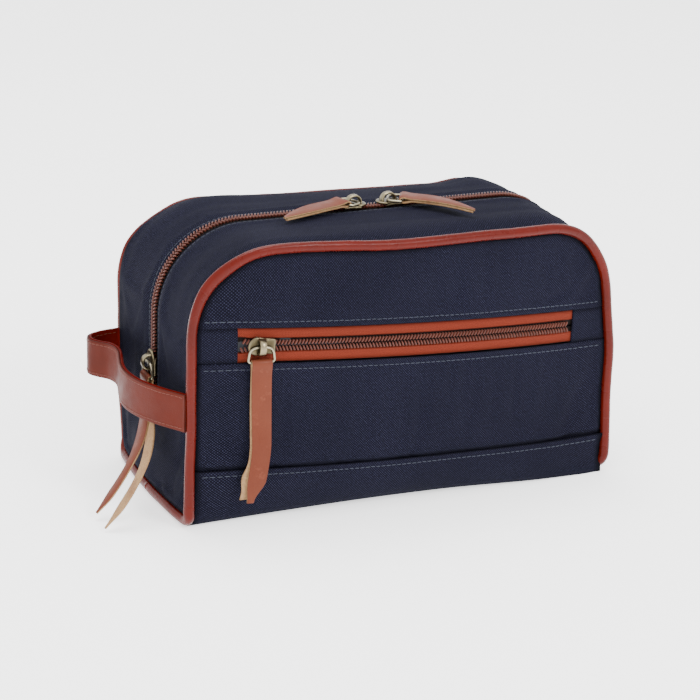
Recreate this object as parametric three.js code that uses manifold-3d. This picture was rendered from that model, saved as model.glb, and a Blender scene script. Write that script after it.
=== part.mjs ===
// A zip-top shaving kit bag: crowned front and back panels, an arched gusset with a two-way zip,
// a front zip pocket, leather piping, zip pulls and a grab handle on the left end.
// Units are millimetres. +Z is up, +X runs along the bag, and the front faces -Y.
// The origin is the centre of the flat underside.

import * as THREE from 'three';
import { mergeVertices } from 'three/addons/utils/BufferGeometryUtils.js';
import Module from 'manifold-3d';

const wasm = await Module();
wasm.setup();

// ---------------------------------------------------------------- driving dimensions

const bagWidth = 262; // across the two end faces, at the piping
const bagDepth = 120; // between the two piping seams, at the ends
const bagHeight = 158.5; // gusset surface beside the piping
const cornerRadius = 48; // top corners, seen from the front
const frontCrown = 11; // how far the front bows out at the middle of its length
const backCrown = 6;
const gussetCrown = 5; // how far the gusset bows out along the zip

const fabric = 1.4; // thickness of the outer fabric
const liningSheet = 0.8;
const boardThickness = 2;
const gap = 0.3; // air left between neighbouring pieces
const pipingRadius = 3;

const seamHeight = 30; // where the base fabric meets the front and back panels
const lipHalfLength = 68; // half the length of the part of the mouth that opens
const zipEndHeight = 64; // the main zip stops here on both ends

const windowLow = 91.5; // the opening of the pocket zip in the front panel, at mid length
const windowHigh = 112;
const windowLeft = -108;
const windowRight = 105;
const windowSlope = 0.057; // the pocket zip and its fabric edges run down to the right
const seamSlope = 0.042; // the front seam of the base does too

const coilGap = 0.6; // half the slit between the two halves of a zip
const coilWidth = 3; // one half of the coil, across the zip
const coilThickness = 2.6;
const tapeThickness = 0.8;
const mainTapeWidth = 11; // from the slit to the hidden edge of the tape
const pocketTapeWidth = 9.6;
const zipEdge = 6.3; // from the slit to the folded fabric edge

const topSliderX = 11.5; // the two top sliders stand head to head
const endSliderZ = 81;
const pocketSliderX = -99;
const pullSlew = THREE.MathUtils.degToRad(12); // the top pulls lie turned to the front

const loopLength = 10.8;
const topPullLength = 50;
const pocketPullLength = 84;
const endPullLength = 16; // down to the bend under the handle
const endTailLength = 59;
const pullWidth = 12.8;
const leather = 1.3; // one layer of a pull

const handleLow = 58;
const handleHigh = 82;
const handleOuterLeather = 1.5;
const handleInnerLeather = 1;

// ---------------------------------------------------------------- derived sizes

const endX = bagWidth / 2;
const halfDepth = bagDepth / 2;
const archCentreX = endX - cornerRadius;
const archCentreZ = bagHeight - cornerRadius;
const arcLength = (cornerRadius * Math.PI) / 2;
const zipRunEnd = archCentreX + arcLength + archCentreZ - zipEndHeight;
const pipingInset = 1; // the piping's centre lies this far inside the gusset surface
const pipingSeamY = halfDepth - 0.5;
const pipingSide = pipingRadius + gap; // clear of the piping, from its centre
const endPanelBottom = 8.5;
const pipingFloorZ = 4.9;
const pipingCornerRadius = 11.5;
const pipingFloorInset = 2.4; // the piping's centre where it runs under the end
const pipingPostZs = [70, 30]; // stations of its upright part
const coilDepth = 2.1; // the coil's middle plane lies this far under the fabric surface
const mainCoilOffset = gussetCrown - coilDepth;
const panelSideX = endX - pipingInset - pipingSide;
const panelCornerRadius = cornerRadius - pipingInset - pipingSide - 0.1;

// ---------------------------------------------------------------- colours

const colours = {
  navy: { color: 0x1d2536, roughness: 0.9, metalness: 0 },
  leather: { color: 0x8e3b22, roughness: 0.5, metalness: 0 },
  tape: { color: 0x8a3a26, roughness: 0.85, metalness: 0 },
  coil: { color: 0x5a2a1c, roughness: 0.45, metalness: 0 },
  brass: { color: 0x6f6242, roughness: 0.35, metalness: 1 },
  lining: { color: 0x3a3f4a, roughness: 0.9, metalness: 0 },
  board: { color: 0x2a2a2c, roughness: 0.8, metalness: 0 },
};

const bag = new THREE.Group();

function addPart(name, geometry, colour, parent = bag) {
  const mesh = new THREE.Mesh(geometry, new THREE.MeshStandardMaterial(colours[colour]));
  mesh.name = name;
  parent.add(mesh);
  return mesh;
}

// ---------------------------------------------------------------- geometry helpers

function signedVolume(points, triangles) {
  let volume = 0;
  for (const [a, b, c] of triangles) {
    volume += points[a].dot(new THREE.Vector3().crossVectors(points[b], points[c]));
  }
  return volume / 6;
}

function closedBody(points, triangles) {
  const outward = signedVolume(points, triangles) > 0;
  const index = triangles.flatMap(([a, b, c]) => (outward ? [a, b, c] : [a, c, b]));
  const geometry = new THREE.BufferGeometry();
  const coordinates = points.flatMap((point) => point.toArray());
  geometry.setAttribute('position', new THREE.Float32BufferAttribute(coordinates, 3));
  geometry.setIndex(index);
  geometry.computeVertexNormals();
  return geometry;
}

// Joins equal rings of points into one body. The caps are triangles over one ring's points;
// with no caps, the last ring joins the first one.
function loft(rings, caps) {
  const size = rings[0].length;
  const points = rings.flat();
  const triangles = [];
  const spans = caps ? rings.length - 1 : rings.length;
  for (let i = 0; i < spans; i += 1) {
    const here = i * size;
    const next = ((i + 1) % rings.length) * size;
    for (let j = 0; j < size; j += 1) {
      const k = (j + 1) % size;
      triangles.push([here + j, next + j, next + k], [here + j, next + k, here + k]);
    }
  }
  if (caps) {
    const last = (rings.length - 1) * size;
    const turned = caps.some(([a, b, c]) => [[a, b], [b, c], [c, a]]
      .some(([from, to]) => from === 1 && to === 0));
    for (const [a, second, third] of caps) {
      const [b, c] = turned ? [third, second] : [second, third];
      triangles.push([a, b, c], [last + a, last + c, last + b]);
    }
  }
  return closedBody(points, triangles);
}

// A thin sheet: each station is a pair of equal rows, the outer face and the inner face.
function sheet(stations) {
  const count = stations[0].outer.length;
  const rings = stations.map(({ outer, inner }) => [...outer, ...[...inner].reverse()]);
  const caps = [];
  for (let j = 0; j < count - 1; j += 1) {
    const far = 2 * count - 1 - j;
    caps.push([j, j + 1, far - 1], [j, far - 1, far]);
  }
  return loft(rings, caps);
}

function steps(from, to, count) {
  return Array.from({ length: count + 1 }, (_, i) => from + ((to - from) * i) / count);
}

// A round bar along a path of points, with the section kept square to the path.
function roundBar(path, radius, sides) {
  const rings = path.map((point, i) => {
    const before = path[Math.max(i - 1, 0)];
    const after = path[Math.min(i + 1, path.length - 1)];
    const along = new THREE.Vector3().subVectors(after, before).normalize();
    const outward = new THREE.Vector3(point.x, 0, point.z - archCentreZ / 2).normalize();
    const across = new THREE.Vector3().crossVectors(along, outward).normalize();
    const up = new THREE.Vector3().crossVectors(across, along);
    return steps(0, 2 * Math.PI, sides).slice(0, sides).map((angle) => point.clone()
      .addScaledVector(across, radius * Math.cos(angle))
      .addScaledVector(up, radius * Math.sin(angle)));
  });
  const caps = Array.from({ length: sides - 2 }, (_, i) => [0, i + 1, i + 2]);
  return loft(rings, caps);
}

function toManifold(geometry) {
  const bare = geometry.clone();
  bare.deleteAttribute('normal');
  bare.deleteAttribute('uv');
  const merged = mergeVertices(bare, 1e-4);
  return new wasm.Manifold(new wasm.Mesh({
    numProp: 3,
    vertProperties: new Float32Array(merged.attributes.position.array),
    triVerts: new Uint32Array(merged.index.array),
  }));
}

function fromManifold(solid) {
  const mesh = solid.getMesh();
  const geometry = new THREE.BufferGeometry();
  geometry.setAttribute('position', new THREE.Float32BufferAttribute(mesh.vertProperties, 3));
  geometry.setIndex(Array.from(mesh.triVerts));
  geometry.computeVertexNormals();
  return geometry;
}

// An outline in the XY plane, pushed up along Z from low to high.
function slab(shape, low, high, curveSegments = 5) {
  const geometry = new THREE.ExtrudeGeometry(shape, {
    depth: high - low,
    bevelEnabled: false,
    curveSegments,
  });
  return geometry.translate(0, 0, low);
}

// An outline in the XZ plane, pushed along Y, centred on y = 0.
function crossSlab(shape, width, curveSegments = 5) {
  return slab(shape, -width / 2, width / 2, curveSegments).rotateX(Math.PI / 2);
}

function polygon(...corners) {
  return new THREE.Shape(corners.map(([x, y]) => new THREE.Vector2(x, y)));
}

function disc(x, y, radius) {
  return new THREE.Shape().absarc(x, y, radius, 0, 2 * Math.PI);
}

// ---------------------------------------------------------------- the bag's curved surfaces

function planArcRadius(crown) {
  return (endX * endX + crown * crown) / (2 * crown);
}

// How far a crowned side stands out at x, from 0 at the ends to the crown at the middle.
function bow(x, crown) {
  const radius = planArcRadius(crown);
  return Math.sqrt(radius * radius - x * x) - (radius - crown);
}

function crownOf(side) {
  return side < 0 ? frontCrown : backCrown;
}

// The outer face of the front (side -1) or back (side 1) at x, sunk by some depth.
function wallY(side, x, depth = 0) {
  return side * (halfDepth + bow(x, crownOf(side)) - depth);
}

// The arch of the gusset, by the distance run along it from the top centre.
function archPoint(end, run, offset) {
  if (run <= archCentreX) {
    return { x: end * run, z: bagHeight + offset };
  }
  if (run <= archCentreX + arcLength) {
    const angle = (run - archCentreX) / cornerRadius;
    const radius = cornerRadius + offset;
    return {
      x: end * (archCentreX + radius * Math.sin(angle)),
      z: archCentreZ + radius * Math.cos(angle),
    };
  }
  return { x: end * (endX + offset), z: archCentreZ - (run - archCentreX - arcLength) };
}

function gussetBow(y) {
  return gussetCrown * (1 - (y / halfDepth) ** 2);
}

function gussetPoint(end, run, y, depth) {
  const { x, z } = archPoint(end, run, Math.max(gussetBow(y), 0) - depth);
  return new THREE.Vector3(x, y, z);
}

// Runs that follow the arch closely on its round corner and coarsely on its straights.
function archRuns(from, to) {
  const corner = steps(archCentreX, archCentreX + arcLength, 6);
  return [from, ...corner.filter((run) => run > from + 1 && run < to - 1), to];
}

// ---------------------------------------------------------------- front and back panels

// The top of a panel under the arch of the piping, at x.
function panelTop(x) {
  const over = Math.abs(x) - archCentreX;
  if (over <= 0) {
    return archCentreZ + panelCornerRadius;
  }
  return archCentreZ + Math.sqrt(Math.max(panelCornerRadius ** 2 - over ** 2, 0));
}

// The low and high edges are heights as functions of x.
function wallPanel(side, xs, low, high, depth = 0, thickness = fabric) {
  const stations = xs.map((x) => {
    const zs = steps(low(x), high(x), 2);
    const row = (sunk) => zs.map((z) => new THREE.Vector3(x, wallY(side, x, sunk), z));
    return { outer: row(depth), inner: row(depth + thickness) };
  });
  return sheet(stations);
}

// Heights of a sewn line of the front or back. Only the front's lines run downhill.
function sewnLine(side, height, slope) {
  return (x) => height - (side < 0 ? slope * x : 0);
}

function lowestOf(...lines) {
  return (x) => Math.min(...lines.map((line) => line(x)));
}

const wallXs = steps(-panelSideX, panelSideX, 10);
const lipXs = steps(-lipHalfLength, lipHalfLength, 6);
const lipLow = windowHigh + gap;
const lipLiningRise = 4; // the lip's lining starts this far above its fabric
const lipLiningDrop = 1; // and ends this far below the panel's top
const cornerTipHeight = 2; // the upper corners end in a short edge, not in a point
const cornerFirstTurn = 0.38; // share of the corner's turn at its first inner station

function wallPatch(from, to) {
  const low = sewnLine(-1, windowLow + gap, windowSlope);
  const high = lowestOf(sewnLine(-1, windowHigh - gap, windowSlope), panelTop);
  return wallPanel(-1, steps(from, to, 3), low, high);
}

addPart('pocket_panel', wallPanel(-1, wallXs, sewnLine(-1, seamHeight + gap, seamSlope),
  sewnLine(-1, windowLow, windowSlope)), 'navy');
addPart('window_end_left', wallPatch(-panelSideX, windowLeft - gap), 'navy');
addPart('window_end_right', wallPatch(windowRight + gap, panelSideX), 'navy');
addPart('back_panel', wallPanel(1, wallXs, sewnLine(1, seamHeight + gap, 0),
  sewnLine(1, windowHigh - gap, 0)), 'navy');

const sides = [['front', -1], ['back', 1]];
const ends = [['left', -1], ['right', 1]];

// Stations of an upper corner, from the lip out to where the panel is only a tip high.
function cornerStations(end, low) {
  const tip = low(end * panelSideX) + cornerTipHeight - archCentreZ;
  const turn = Math.acos(Math.max(tip, 0) / panelCornerRadius);
  const bend = steps(cornerFirstTurn * turn, turn, 4)
    .map((angle) => archCentreX + panelCornerRadius * Math.sin(angle));
  return [lipHalfLength + gap, archCentreX, ...bend].map((x) => end * x);
}

for (const [sideName, side] of sides) {
  const low = sewnLine(side, lipLow, windowSlope);
  const liningLow = sewnLine(side, lipLow + lipLiningRise, windowSlope);
  const liningTop = (x) => panelTop(x) - lipLiningDrop;
  for (const [endName, end] of ends) {
    addPart(`${sideName}_upper_${endName}`,
      wallPanel(side, cornerStations(end, low), low, panelTop), 'navy');
  }
  addPart(`${sideName}_lip_panel`, wallPanel(side, lipXs, low, panelTop), 'navy');
  addPart(`${sideName}_lip_lining`,
    wallPanel(side, lipXs, liningLow, liningTop, fabric + gap, liningSheet), 'lining');
}

// ---------------------------------------------------------------- gusset, in strips beside the zip

function gussetStrip(side, runs, end) {
  const stations = runs.map((run) => {
    const { x } = archPoint(end, Math.abs(run), 0);
    const outerEdge = pipingSeamY - pipingSide + bow(x, crownOf(side));
    const ys = steps(outerEdge, zipEdge, 3).map((y) => side * y);
    const row = (sunk) => ys.map((y) => {
      const point = gussetPoint(end, Math.abs(run), y, sunk);
      return run < 0 ? new THREE.Vector3(-point.x, point.y, point.z) : point;
    });
    return { outer: row(0), inner: row(fabric) };
  });
  return sheet(stations);
}

for (const [sideName, side] of sides) {
  for (const [endName, end] of ends) {
    addPart(`${sideName}_gusset_${endName}`,
      gussetStrip(side, archRuns(lipHalfLength + gap, zipRunEnd), end), 'navy');
  }
  addPart(`${sideName}_gusset_lip`,
    gussetStrip(side, steps(-lipHalfLength, lipHalfLength, 6), 1), 'navy');
}

const endPanelMiddle = 40;
const endPanelCornerZs = [12, 9.6];
const endPanelFade = 25; // the gusset's bow dies out over this height above the floor

// The end panel closes the gusset below the zip. Its lower corners follow the piping's bends.
function endPanel(end) {
  const cornerCentre = pipingFloorZ + pipingCornerRadius;
  const cornerInner = pipingCornerRadius - pipingSide;
  const straight = pipingSeamY - pipingCornerRadius;
  const zs = [zipEndHeight - gap, endPanelMiddle, cornerCentre, ...endPanelCornerZs, endPanelBottom];
  const stations = zs.map((z) => {
    const below = Math.max(cornerCentre - z, 0);
    const half = straight + Math.sqrt(Math.max(cornerInner ** 2 - below ** 2, 0));
    const row = (sunk) => steps(-half, half, 6).map((y) => {
      const fade = Math.min((z - endPanelBottom) / endPanelFade, 1);
      const x = endX + Math.max(gussetBow(y), 0) * fade - sunk;
      return new THREE.Vector3(end * x, y, z);
    });
    return { outer: row(0), inner: row(fabric) };
  });
  return sheet(stations);
}

for (const [endName, end] of ends) {
  addPart(`end_panel_${endName}`, endPanel(end), 'navy');
}

// ---------------------------------------------------------------- base

const baseHalfLength = endX - 5.8;
const baseFlatHalfDepth = 46; // half the flat part of the base, at the ends
const baseFlatBow = 0.5; // share of the wall's bow that the flat part follows
const baseBendPower = 0.7; // below 1 the bend is squarer than an oval
const baseBendSteps = 6;

// The base wraps up into both walls; the bend is a squared quarter oval.
function baseProfile(x, sunk) {
  const half = [-1, 1].map((side) => {
    const rise = sewnLine(side, seamHeight - gap, seamSlope)(x);
    const flat = side * (baseFlatHalfDepth + baseFlatBow * bow(x, crownOf(side)));
    const wall = wallY(side, x, sunk);
    return steps(0, Math.PI / 2, baseBendSteps).map((angle) => {
      const across = Math.cos(angle) ** baseBendPower;
      const down = Math.sin(angle) ** baseBendPower;
      return new THREE.Vector3(x, flat + (wall - flat) * across, rise - (rise - sunk) * down);
    });
  });
  return [...half[0], ...half[1].reverse()];
}

const baseStations = steps(-baseHalfLength, baseHalfLength, 8).map((x) => ({
  outer: baseProfile(x, 0),
  inner: baseProfile(x, fabric),
}));
addPart('base_panel', sheet(baseStations), 'navy');

function roundedRectangle(halfX, halfY, radius) {
  const shape = new THREE.Shape();
  shape.moveTo(-halfX + radius, -halfY);
  shape.lineTo(halfX - radius, -halfY);
  shape.absarc(halfX - radius, -halfY + radius, radius, -Math.PI / 2, 0);
  shape.absarc(halfX - radius, halfY - radius, radius, 0, Math.PI / 2);
  shape.absarc(-halfX + radius, halfY - radius, radius, Math.PI / 2, Math.PI);
  shape.absarc(-halfX + radius, -halfY + radius, radius, Math.PI, 1.5 * Math.PI);
  return shape;
}

const boardLow = fabric + gap;
const boardHigh = boardLow + boardThickness;
const boardHalfX = 120;
const boardHalfY = 46;
const boardCorner = 6;
addPart('base_board',
  slab(roundedRectangle(boardHalfX, boardHalfY, boardCorner), boardLow, boardHigh, 3), 'board');

// ---------------------------------------------------------------- lining, an open tub

const tubLow = boardHigh + gap;
const tubHigh = 108;
const tubHalfX = 129;
const tubHalfY = 55.8;
const tubFoot = 20; // height over which the tub widens from its floor
const tubCorner = 8;
const tubPinch = 8; // how much narrower the floor is on each side

function tubSolid(inset, low) {
  const section = (z, pinch) => {
    const halfX = tubHalfX - inset - pinch;
    const halfY = tubHalfY - inset - pinch;
    const corners = roundedRectangle(halfX, halfY, tubCorner).getPoints(2).slice(0, -1);
    return corners.map((corner) => new THREE.Vector3(corner.x, corner.y, z));
  };
  const rings = [section(low, tubPinch), section(low + tubFoot, 0), section(tubHigh + inset, 0)];
  const contour = rings[0].map((point) => new THREE.Vector2(point.x, point.y));
  return loft(rings, THREE.ShapeUtils.triangulateShape(contour, []));
}

const tubOuter = toManifold(tubSolid(0, tubLow));
const tubInner = toManifold(tubSolid(liningSheet, tubLow + liningSheet));
addPart('lining_tub', fromManifold(tubOuter.subtract(tubInner)), 'lining');

// ---------------------------------------------------------------- pocket

const pocketBagY = -57.2;

function flatSheet(halfX, low, high, y, thickness) {
  const shape = polygon([-halfX, low], [halfX, low], [halfX, high], [-halfX, high]);
  return crossSlab(shape, thickness).translate(0, y + thickness / 2, 0);
}

const pocketBagHalfX = 112;
const pocketBagLow = 36;
const pocketBagHigh = 110;
addPart('pocket_bag',
  flatSheet(pocketBagHalfX, pocketBagLow, pocketBagHigh, pocketBagY, liningSheet), 'lining');

// A zip half on the crowned front: the section is given as heights from the slit and depths.
const pocketZipLine = sewnLine(-1, (windowLow + windowHigh) / 2, windowSlope);
const pocketZipXs = steps(windowLeft + gap, windowRight - gap, 12);

function pocketStrip(direction, near, far, shallow, deep) {
  const stations = pocketZipXs.map((x) => {
    const row = (depth) => [near, far].map((reach) => new THREE.Vector3(
      x, wallY(-1, x, depth), pocketZipLine(x) + direction * reach));
    return { outer: row(shallow), inner: row(deep) };
  });
  return sheet(stations);
}

const coilTop = coilDepth - coilThickness / 2;
const coilBottom = coilDepth + coilThickness / 2;
const tapeTop = coilDepth - tapeThickness / 2;
const tapeBottom = coilDepth + tapeThickness / 2;
for (const [edgeName, direction] of [['upper', 1], ['lower', -1]]) {
  addPart(`pocket_coil_${edgeName}`,
    pocketStrip(direction, coilGap, coilGap + coilWidth, coilTop, coilBottom), 'coil');
  addPart(`pocket_tape_${edgeName}`,
    pocketStrip(direction, coilGap + coilWidth + gap, pocketTapeWidth, tapeTop, tapeBottom), 'tape');
}

// ---------------------------------------------------------------- main zip: tape with its coil

const chainSection = [
  [coilGap, coilThickness / 2],
  [coilGap + coilWidth, coilThickness / 2],
  [coilGap + coilWidth, tapeThickness / 2],
  [mainTapeWidth, tapeThickness / 2],
  [mainTapeWidth, -tapeThickness / 2],
  [coilGap + coilWidth, -tapeThickness / 2],
  [coilGap + coilWidth, -coilThickness / 2],
  [coilGap, -coilThickness / 2],
];

function zipHalf(side, runs, end) {
  const tapeDrop = 0.3; // the tape's hidden edge stays clear of the fabric above it
  const rings = runs.map((run) => chainSection.map(([reach, rise]) => {
    const drop = reach > coilGap + coilWidth ? tapeDrop : 0;
    const { x, z } = archPoint(end, Math.abs(run), mainCoilOffset + rise - drop);
    return new THREE.Vector3(run < 0 ? -x : x, side * reach, z);
  }));
  const contour = chainSection.map(([reach, rise]) => new THREE.Vector2(reach, rise));
  return loft(rings, THREE.ShapeUtils.triangulateShape(contour, []));
}

for (const [sideName, side] of sides) {
  for (const [endName, end] of ends) {
    addPart(`${sideName}_zip_${endName}`,
      zipHalf(side, archRuns(lipHalfLength + gap, zipRunEnd - gap), end), 'tape');
  }
  addPart(`${sideName}_zip_lip`, zipHalf(side, [-lipHalfLength, lipHalfLength], 1), 'tape');
}

// A folded fabric tab covers the zip's end on the right.
const tabHalfHeight = 4.5;
const tabHalfWidth = 8;
const tabCorner = 2;
const tabThickness = 1.6;
const tabLap = 0.5; // how far it reaches below the zip's end
const tabShape = roundedRectangle(tabHalfHeight, tabHalfWidth, tabCorner);
addPart('zip_end_tab', slab(tabShape, 0, tabThickness, 2).rotateY(Math.PI / 2)
  .translate(endX + gussetCrown + gap, 0, zipEndHeight + tabHalfHeight - tabLap), 'navy');

// ---------------------------------------------------------------- piping

function pipingPoint(side, x, z) {
  return new THREE.Vector3(x, side * (pipingSeamY + bow(x, crownOf(side))), z);
}

// Down one side of the front, under the end, and up the same side of the back.
function endPipingPath(end) {
  const radius = cornerRadius - pipingInset;
  const postX = end * (endX - pipingInset);
  const floorX = end * (endX - pipingFloorInset);
  const bendZ = pipingFloorZ + pipingCornerRadius;
  const bendY = pipingSeamY - pipingCornerRadius;
  const down = (side) => {
    const top = [lipHalfLength + gap, archCentreX - 1]
      .map((x) => pipingPoint(side, end * x, bagHeight - pipingInset));
    const corner = steps(0, Math.PI / 2, 6).map((angle) => pipingPoint(side,
      end * (archCentreX + radius * Math.sin(angle)), archCentreZ + radius * Math.cos(angle)));
    const post = pipingPostZs.map((z) => pipingPoint(side, postX, z));
    const bend = steps(0, Math.PI / 2, 4).map((angle) => new THREE.Vector3(
      floorX + (postX - floorX) * (1 - Math.sin(angle)),
      side * (bendY + pipingCornerRadius * Math.cos(angle)),
      bendZ - pipingCornerRadius * Math.sin(angle)));
    return [...top, ...corner, ...post, ...bend];
  };
  return [...down(-1), ...down(1).reverse()];
}

const pipingSides = 8;
for (const [endName, end] of ends) {
  addPart(`piping_${endName}`, roundBar(endPipingPath(end), pipingRadius, pipingSides), 'leather');
}
for (const [sideName, side] of sides) {
  const path = lipXs.map((x) => pipingPoint(side, x, bagHeight - pipingInset));
  addPart(`${sideName}_lip_piping`, roundBar(path, pipingRadius, pipingSides), 'leather');
}

// ---------------------------------------------------------------- zip sliders, loops and pulls
// Built lying flat: the zip runs along X, the nose points to +X, and +Z points out of the fabric.
// z = 0 is the middle plane of the coil.

const plateAir = 0.9; // between the coil and a plate
const plateThickness = 1.2;
const underThickness = 1;
const plateLow = coilThickness / 2 + plateAir;
const plateHigh = plateLow + plateThickness;
const underLow = -plateLow - underThickness;
const plateHalfLength = 7.8;
const plateTailHalf = 4.3; // half the width of the square tail
const plateNeckX = 1; // where the shoulders start, and half the width there
const plateNeckHalf = 4.6;
const plateShoulder = [3, 5.75];
const plateCheek = [4.6, 4.8]; // where the shoulder meets the round nose
const plateNoseBend = 3;
const postFrom = 1; // the post between the plates
const postTo = 6;
const weld = 0.4; // how far two pieces of a slider run into each other
const bridgeOuter = 3.6;
const bridgeInner = 1.9;
const bridgeRise = 0.5; // the bridge's arc starts this far above the plate
const bridgeWidth = 3.2;
const barX = 0.5; // where the loop passes through the bridge
const barZ = plateHigh + 1.2;
const wire = 0.8;
const wireSides = 6;

function plateShape() {
  const shape = new THREE.Shape();
  const [cheekX, cheekY] = plateCheek;
  shape.moveTo(-plateHalfLength, -plateTailHalf);
  shape.lineTo(plateNeckX, -plateNeckHalf);
  shape.quadraticCurveTo(plateShoulder[0], -plateShoulder[1], cheekX, -cheekY);
  shape.quadraticCurveTo(plateHalfLength, -plateNoseBend, plateHalfLength, 0);
  shape.quadraticCurveTo(plateHalfLength, plateNoseBend, cheekX, cheekY);
  shape.quadraticCurveTo(plateShoulder[0], plateShoulder[1], plateNeckX, plateNeckHalf);
  shape.lineTo(-plateHalfLength, plateTailHalf);
  return shape;
}

function bridgeShape() {
  const foot = plateHigh - weld;
  const centreZ = plateHigh + bridgeRise;
  const shape = new THREE.Shape();
  shape.moveTo(barX + bridgeOuter, foot);
  shape.lineTo(barX + bridgeOuter, centreZ);
  shape.absarc(barX, centreZ, bridgeOuter, 0, Math.PI);
  shape.lineTo(barX - bridgeOuter, foot);
  shape.lineTo(barX - bridgeInner, foot);
  shape.lineTo(barX - bridgeInner, centreZ);
  shape.absarc(barX, centreZ, bridgeInner, Math.PI, 0, true);
  shape.lineTo(barX + bridgeInner, foot);
  return shape;
}

function sliderGeometry(bridgeTurn) {
  const top = toManifold(slab(plateShape(), plateLow, plateHigh, 3));
  const under = toManifold(slab(plateShape(), underLow, -plateLow, 3));
  const postShape = polygon([postFrom, -coilGap / 2], [postTo, -coilGap / 2], [postTo, coilGap / 2],
    [postFrom, coilGap / 2]);
  const post = toManifold(slab(postShape, -plateLow - weld, plateLow + weld));
  const bridge = toManifold(crossSlab(bridgeShape(), bridgeWidth, 4)
    .translate(-barX, 0, 0).rotateZ(bridgeTurn).translate(barX, 0, 0));
  return fromManifold(top.add(under).add(post).add(bridge));
}

// Half of the loop's line: distances from its far bar or from the bridge, and half widths.
const loopFarHalf = [[0, 6.9], [0.3, 7.4], [1, 7.6]];
const loopNearHalf = [[1.3, 5], [0.4, 4.6], [0, 3.8]];

// The wire loop passes through the bridge at its narrow end and reaches back along -X.
function loopGeometry() {
  const far = barX - loopLength;
  const half = [
    ...loopFarHalf.map(([reach, y]) => [far + reach, y]),
    ...loopNearHalf.map(([reach, y]) => [barX - reach, y]),
  ];
  const mirrored = half.map(([x, y]) => [x, -y]).reverse();
  const path = [...half, ...mirrored].map(([x, y]) => new THREE.Vector3(x, y, barZ));
  const up = new THREE.Vector3(0, 0, 1);
  const rings = path.map((point, i) => {
    const after = path[(i + 1) % path.length];
    const before = path[(i + path.length - 1) % path.length];
    const into = new THREE.Vector3().subVectors(point, before).normalize();
    const away = new THREE.Vector3().subVectors(after, point).normalize();
    const along = new THREE.Vector3().addVectors(into, away).normalize();
    const across = new THREE.Vector3().crossVectors(along, up);
    return steps(0, 2 * Math.PI, wireSides).slice(0, wireSides).map((turn) => point.clone()
      .addScaledVector(across, wire * Math.cos(turn))
      .addScaledVector(up, wire * Math.sin(turn)));
  });
  return loft(rings, null);
}

const foldRadius = 2.3; // the leather's outside where it wraps the loop's bar
const eyeRadius = 1.35;
const foldReach = 3; // outlines start this far past the bar
const planHalfHeight = 15;
const partingShare = 0.4; // a parted pull's layers separate after this share of its length
const partingRise = 1.4; // how far the outer layer's inside stands off at the tip
const partingLap = 6;
const innerLayerTop = -0.1;

// A strap folded round the loop. The outline gives its tips, seen from above; the side view
// gives its two layers, which may part towards the tips.
function pullGeometry(length, sideView, outline) {
  const pivotX = barX - loopLength;
  const fold = toManifold(crossSlab(disc(pivotX, barZ, foldRadius), pullWidth, 5));
  const eye = toManifold(crossSlab(disc(pivotX, barZ, eyeRadius), pullWidth + 4, 4));
  const band = toManifold(crossSlab(sideView(pivotX, length), pullWidth));
  const plan = toManifold(slab(outline(pivotX, length), barZ - planHalfHeight, barZ + planHalfHeight));
  return fromManifold(fold.add(band).intersect(plan).subtract(eye));
}

function flatSideView(x, length) {
  return polygon([x, barZ - leather], [x, barZ + leather], [x - length, barZ + leather],
    [x - length, barZ - leather]);
}

function partedSideView(x, length) {
  const split = x - partingShare * length;
  const tip = x - length;
  return polygon([x, barZ - leather], [x, barZ + leather], [split, barZ + leather],
    [tip, barZ + 2 * partingRise], [tip, barZ + partingRise], [split - partingLap, barZ],
    [tip, barZ + innerLayerTop], [tip, barZ - leather], [split, barZ - leather]);
}

const pointTaper = 16; // length of a pointed tip
const pointShoulder = 0.72; // share of the half width where it starts
const pointHalf = 0.8;

function pointedOutline(x, length) {
  const half = pullWidth / 2;
  const tip = x - length;
  return polygon([x + foldReach, -half], [x + foldReach, half], [tip + pointTaper, half * pointShoulder],
    [tip, pointHalf], [tip, -pointHalf], [tip + pointTaper, -half * pointShoulder]);
}

// Two slanted tips beside each other, the second a little shorter. Reaches are from the long tip.
const longTip = { shoulder: 14, share: 0.35 };
const shortTip = { reach: 5, share: 0.6, shoulder: 20 };
const tipNotch = 8;

function twinOutline(x, length) {
  const half = pullWidth / 2;
  const tip = x - length;
  return polygon([x + foldReach, -half], [x + foldReach, half], [tip + longTip.shoulder, half],
    [tip, half * longTip.share], [tip + tipNotch, 0], [tip + shortTip.reach, -half * shortTip.share],
    [tip + shortTip.reach, -half], [tip + shortTip.shoulder, -half]);
}

function squareOutline(x, length) {
  const half = pullWidth / 2;
  return polygon([x + foldReach, -half], [x + foldReach, half], [x - length, half], [x - length, -half]);
}

function addZipSlider(name, frame, turn, pull) {
  const holder = new THREE.Group();
  holder.applyMatrix4(frame);
  bag.add(holder);
  addPart(`${name}_slider`, sliderGeometry(pull.bridgeTurn), 'brass', holder);
  const swung = new THREE.Group();
  swung.position.set(barX, 0, 0);
  swung.rotation.z = turn;
  holder.add(swung);
  const shifted = new THREE.Group();
  shifted.position.set(-barX, 0, 0);
  swung.add(shifted);
  addPart(`${name}_loop`, loopGeometry(), 'brass', shifted);
  addPart(`${name}_pull`, pullGeometry(pull.length, pull.sideView, pull.outline), 'leather', shifted);
}

function frameFrom(along, out, origin) {
  const x = new THREE.Vector3(...along);
  const z = new THREE.Vector3(...out);
  const y = new THREE.Vector3().crossVectors(z, x);
  return new THREE.Matrix4().makeBasis(x, y, z).setPosition(new THREE.Vector3(...origin));
}

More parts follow.
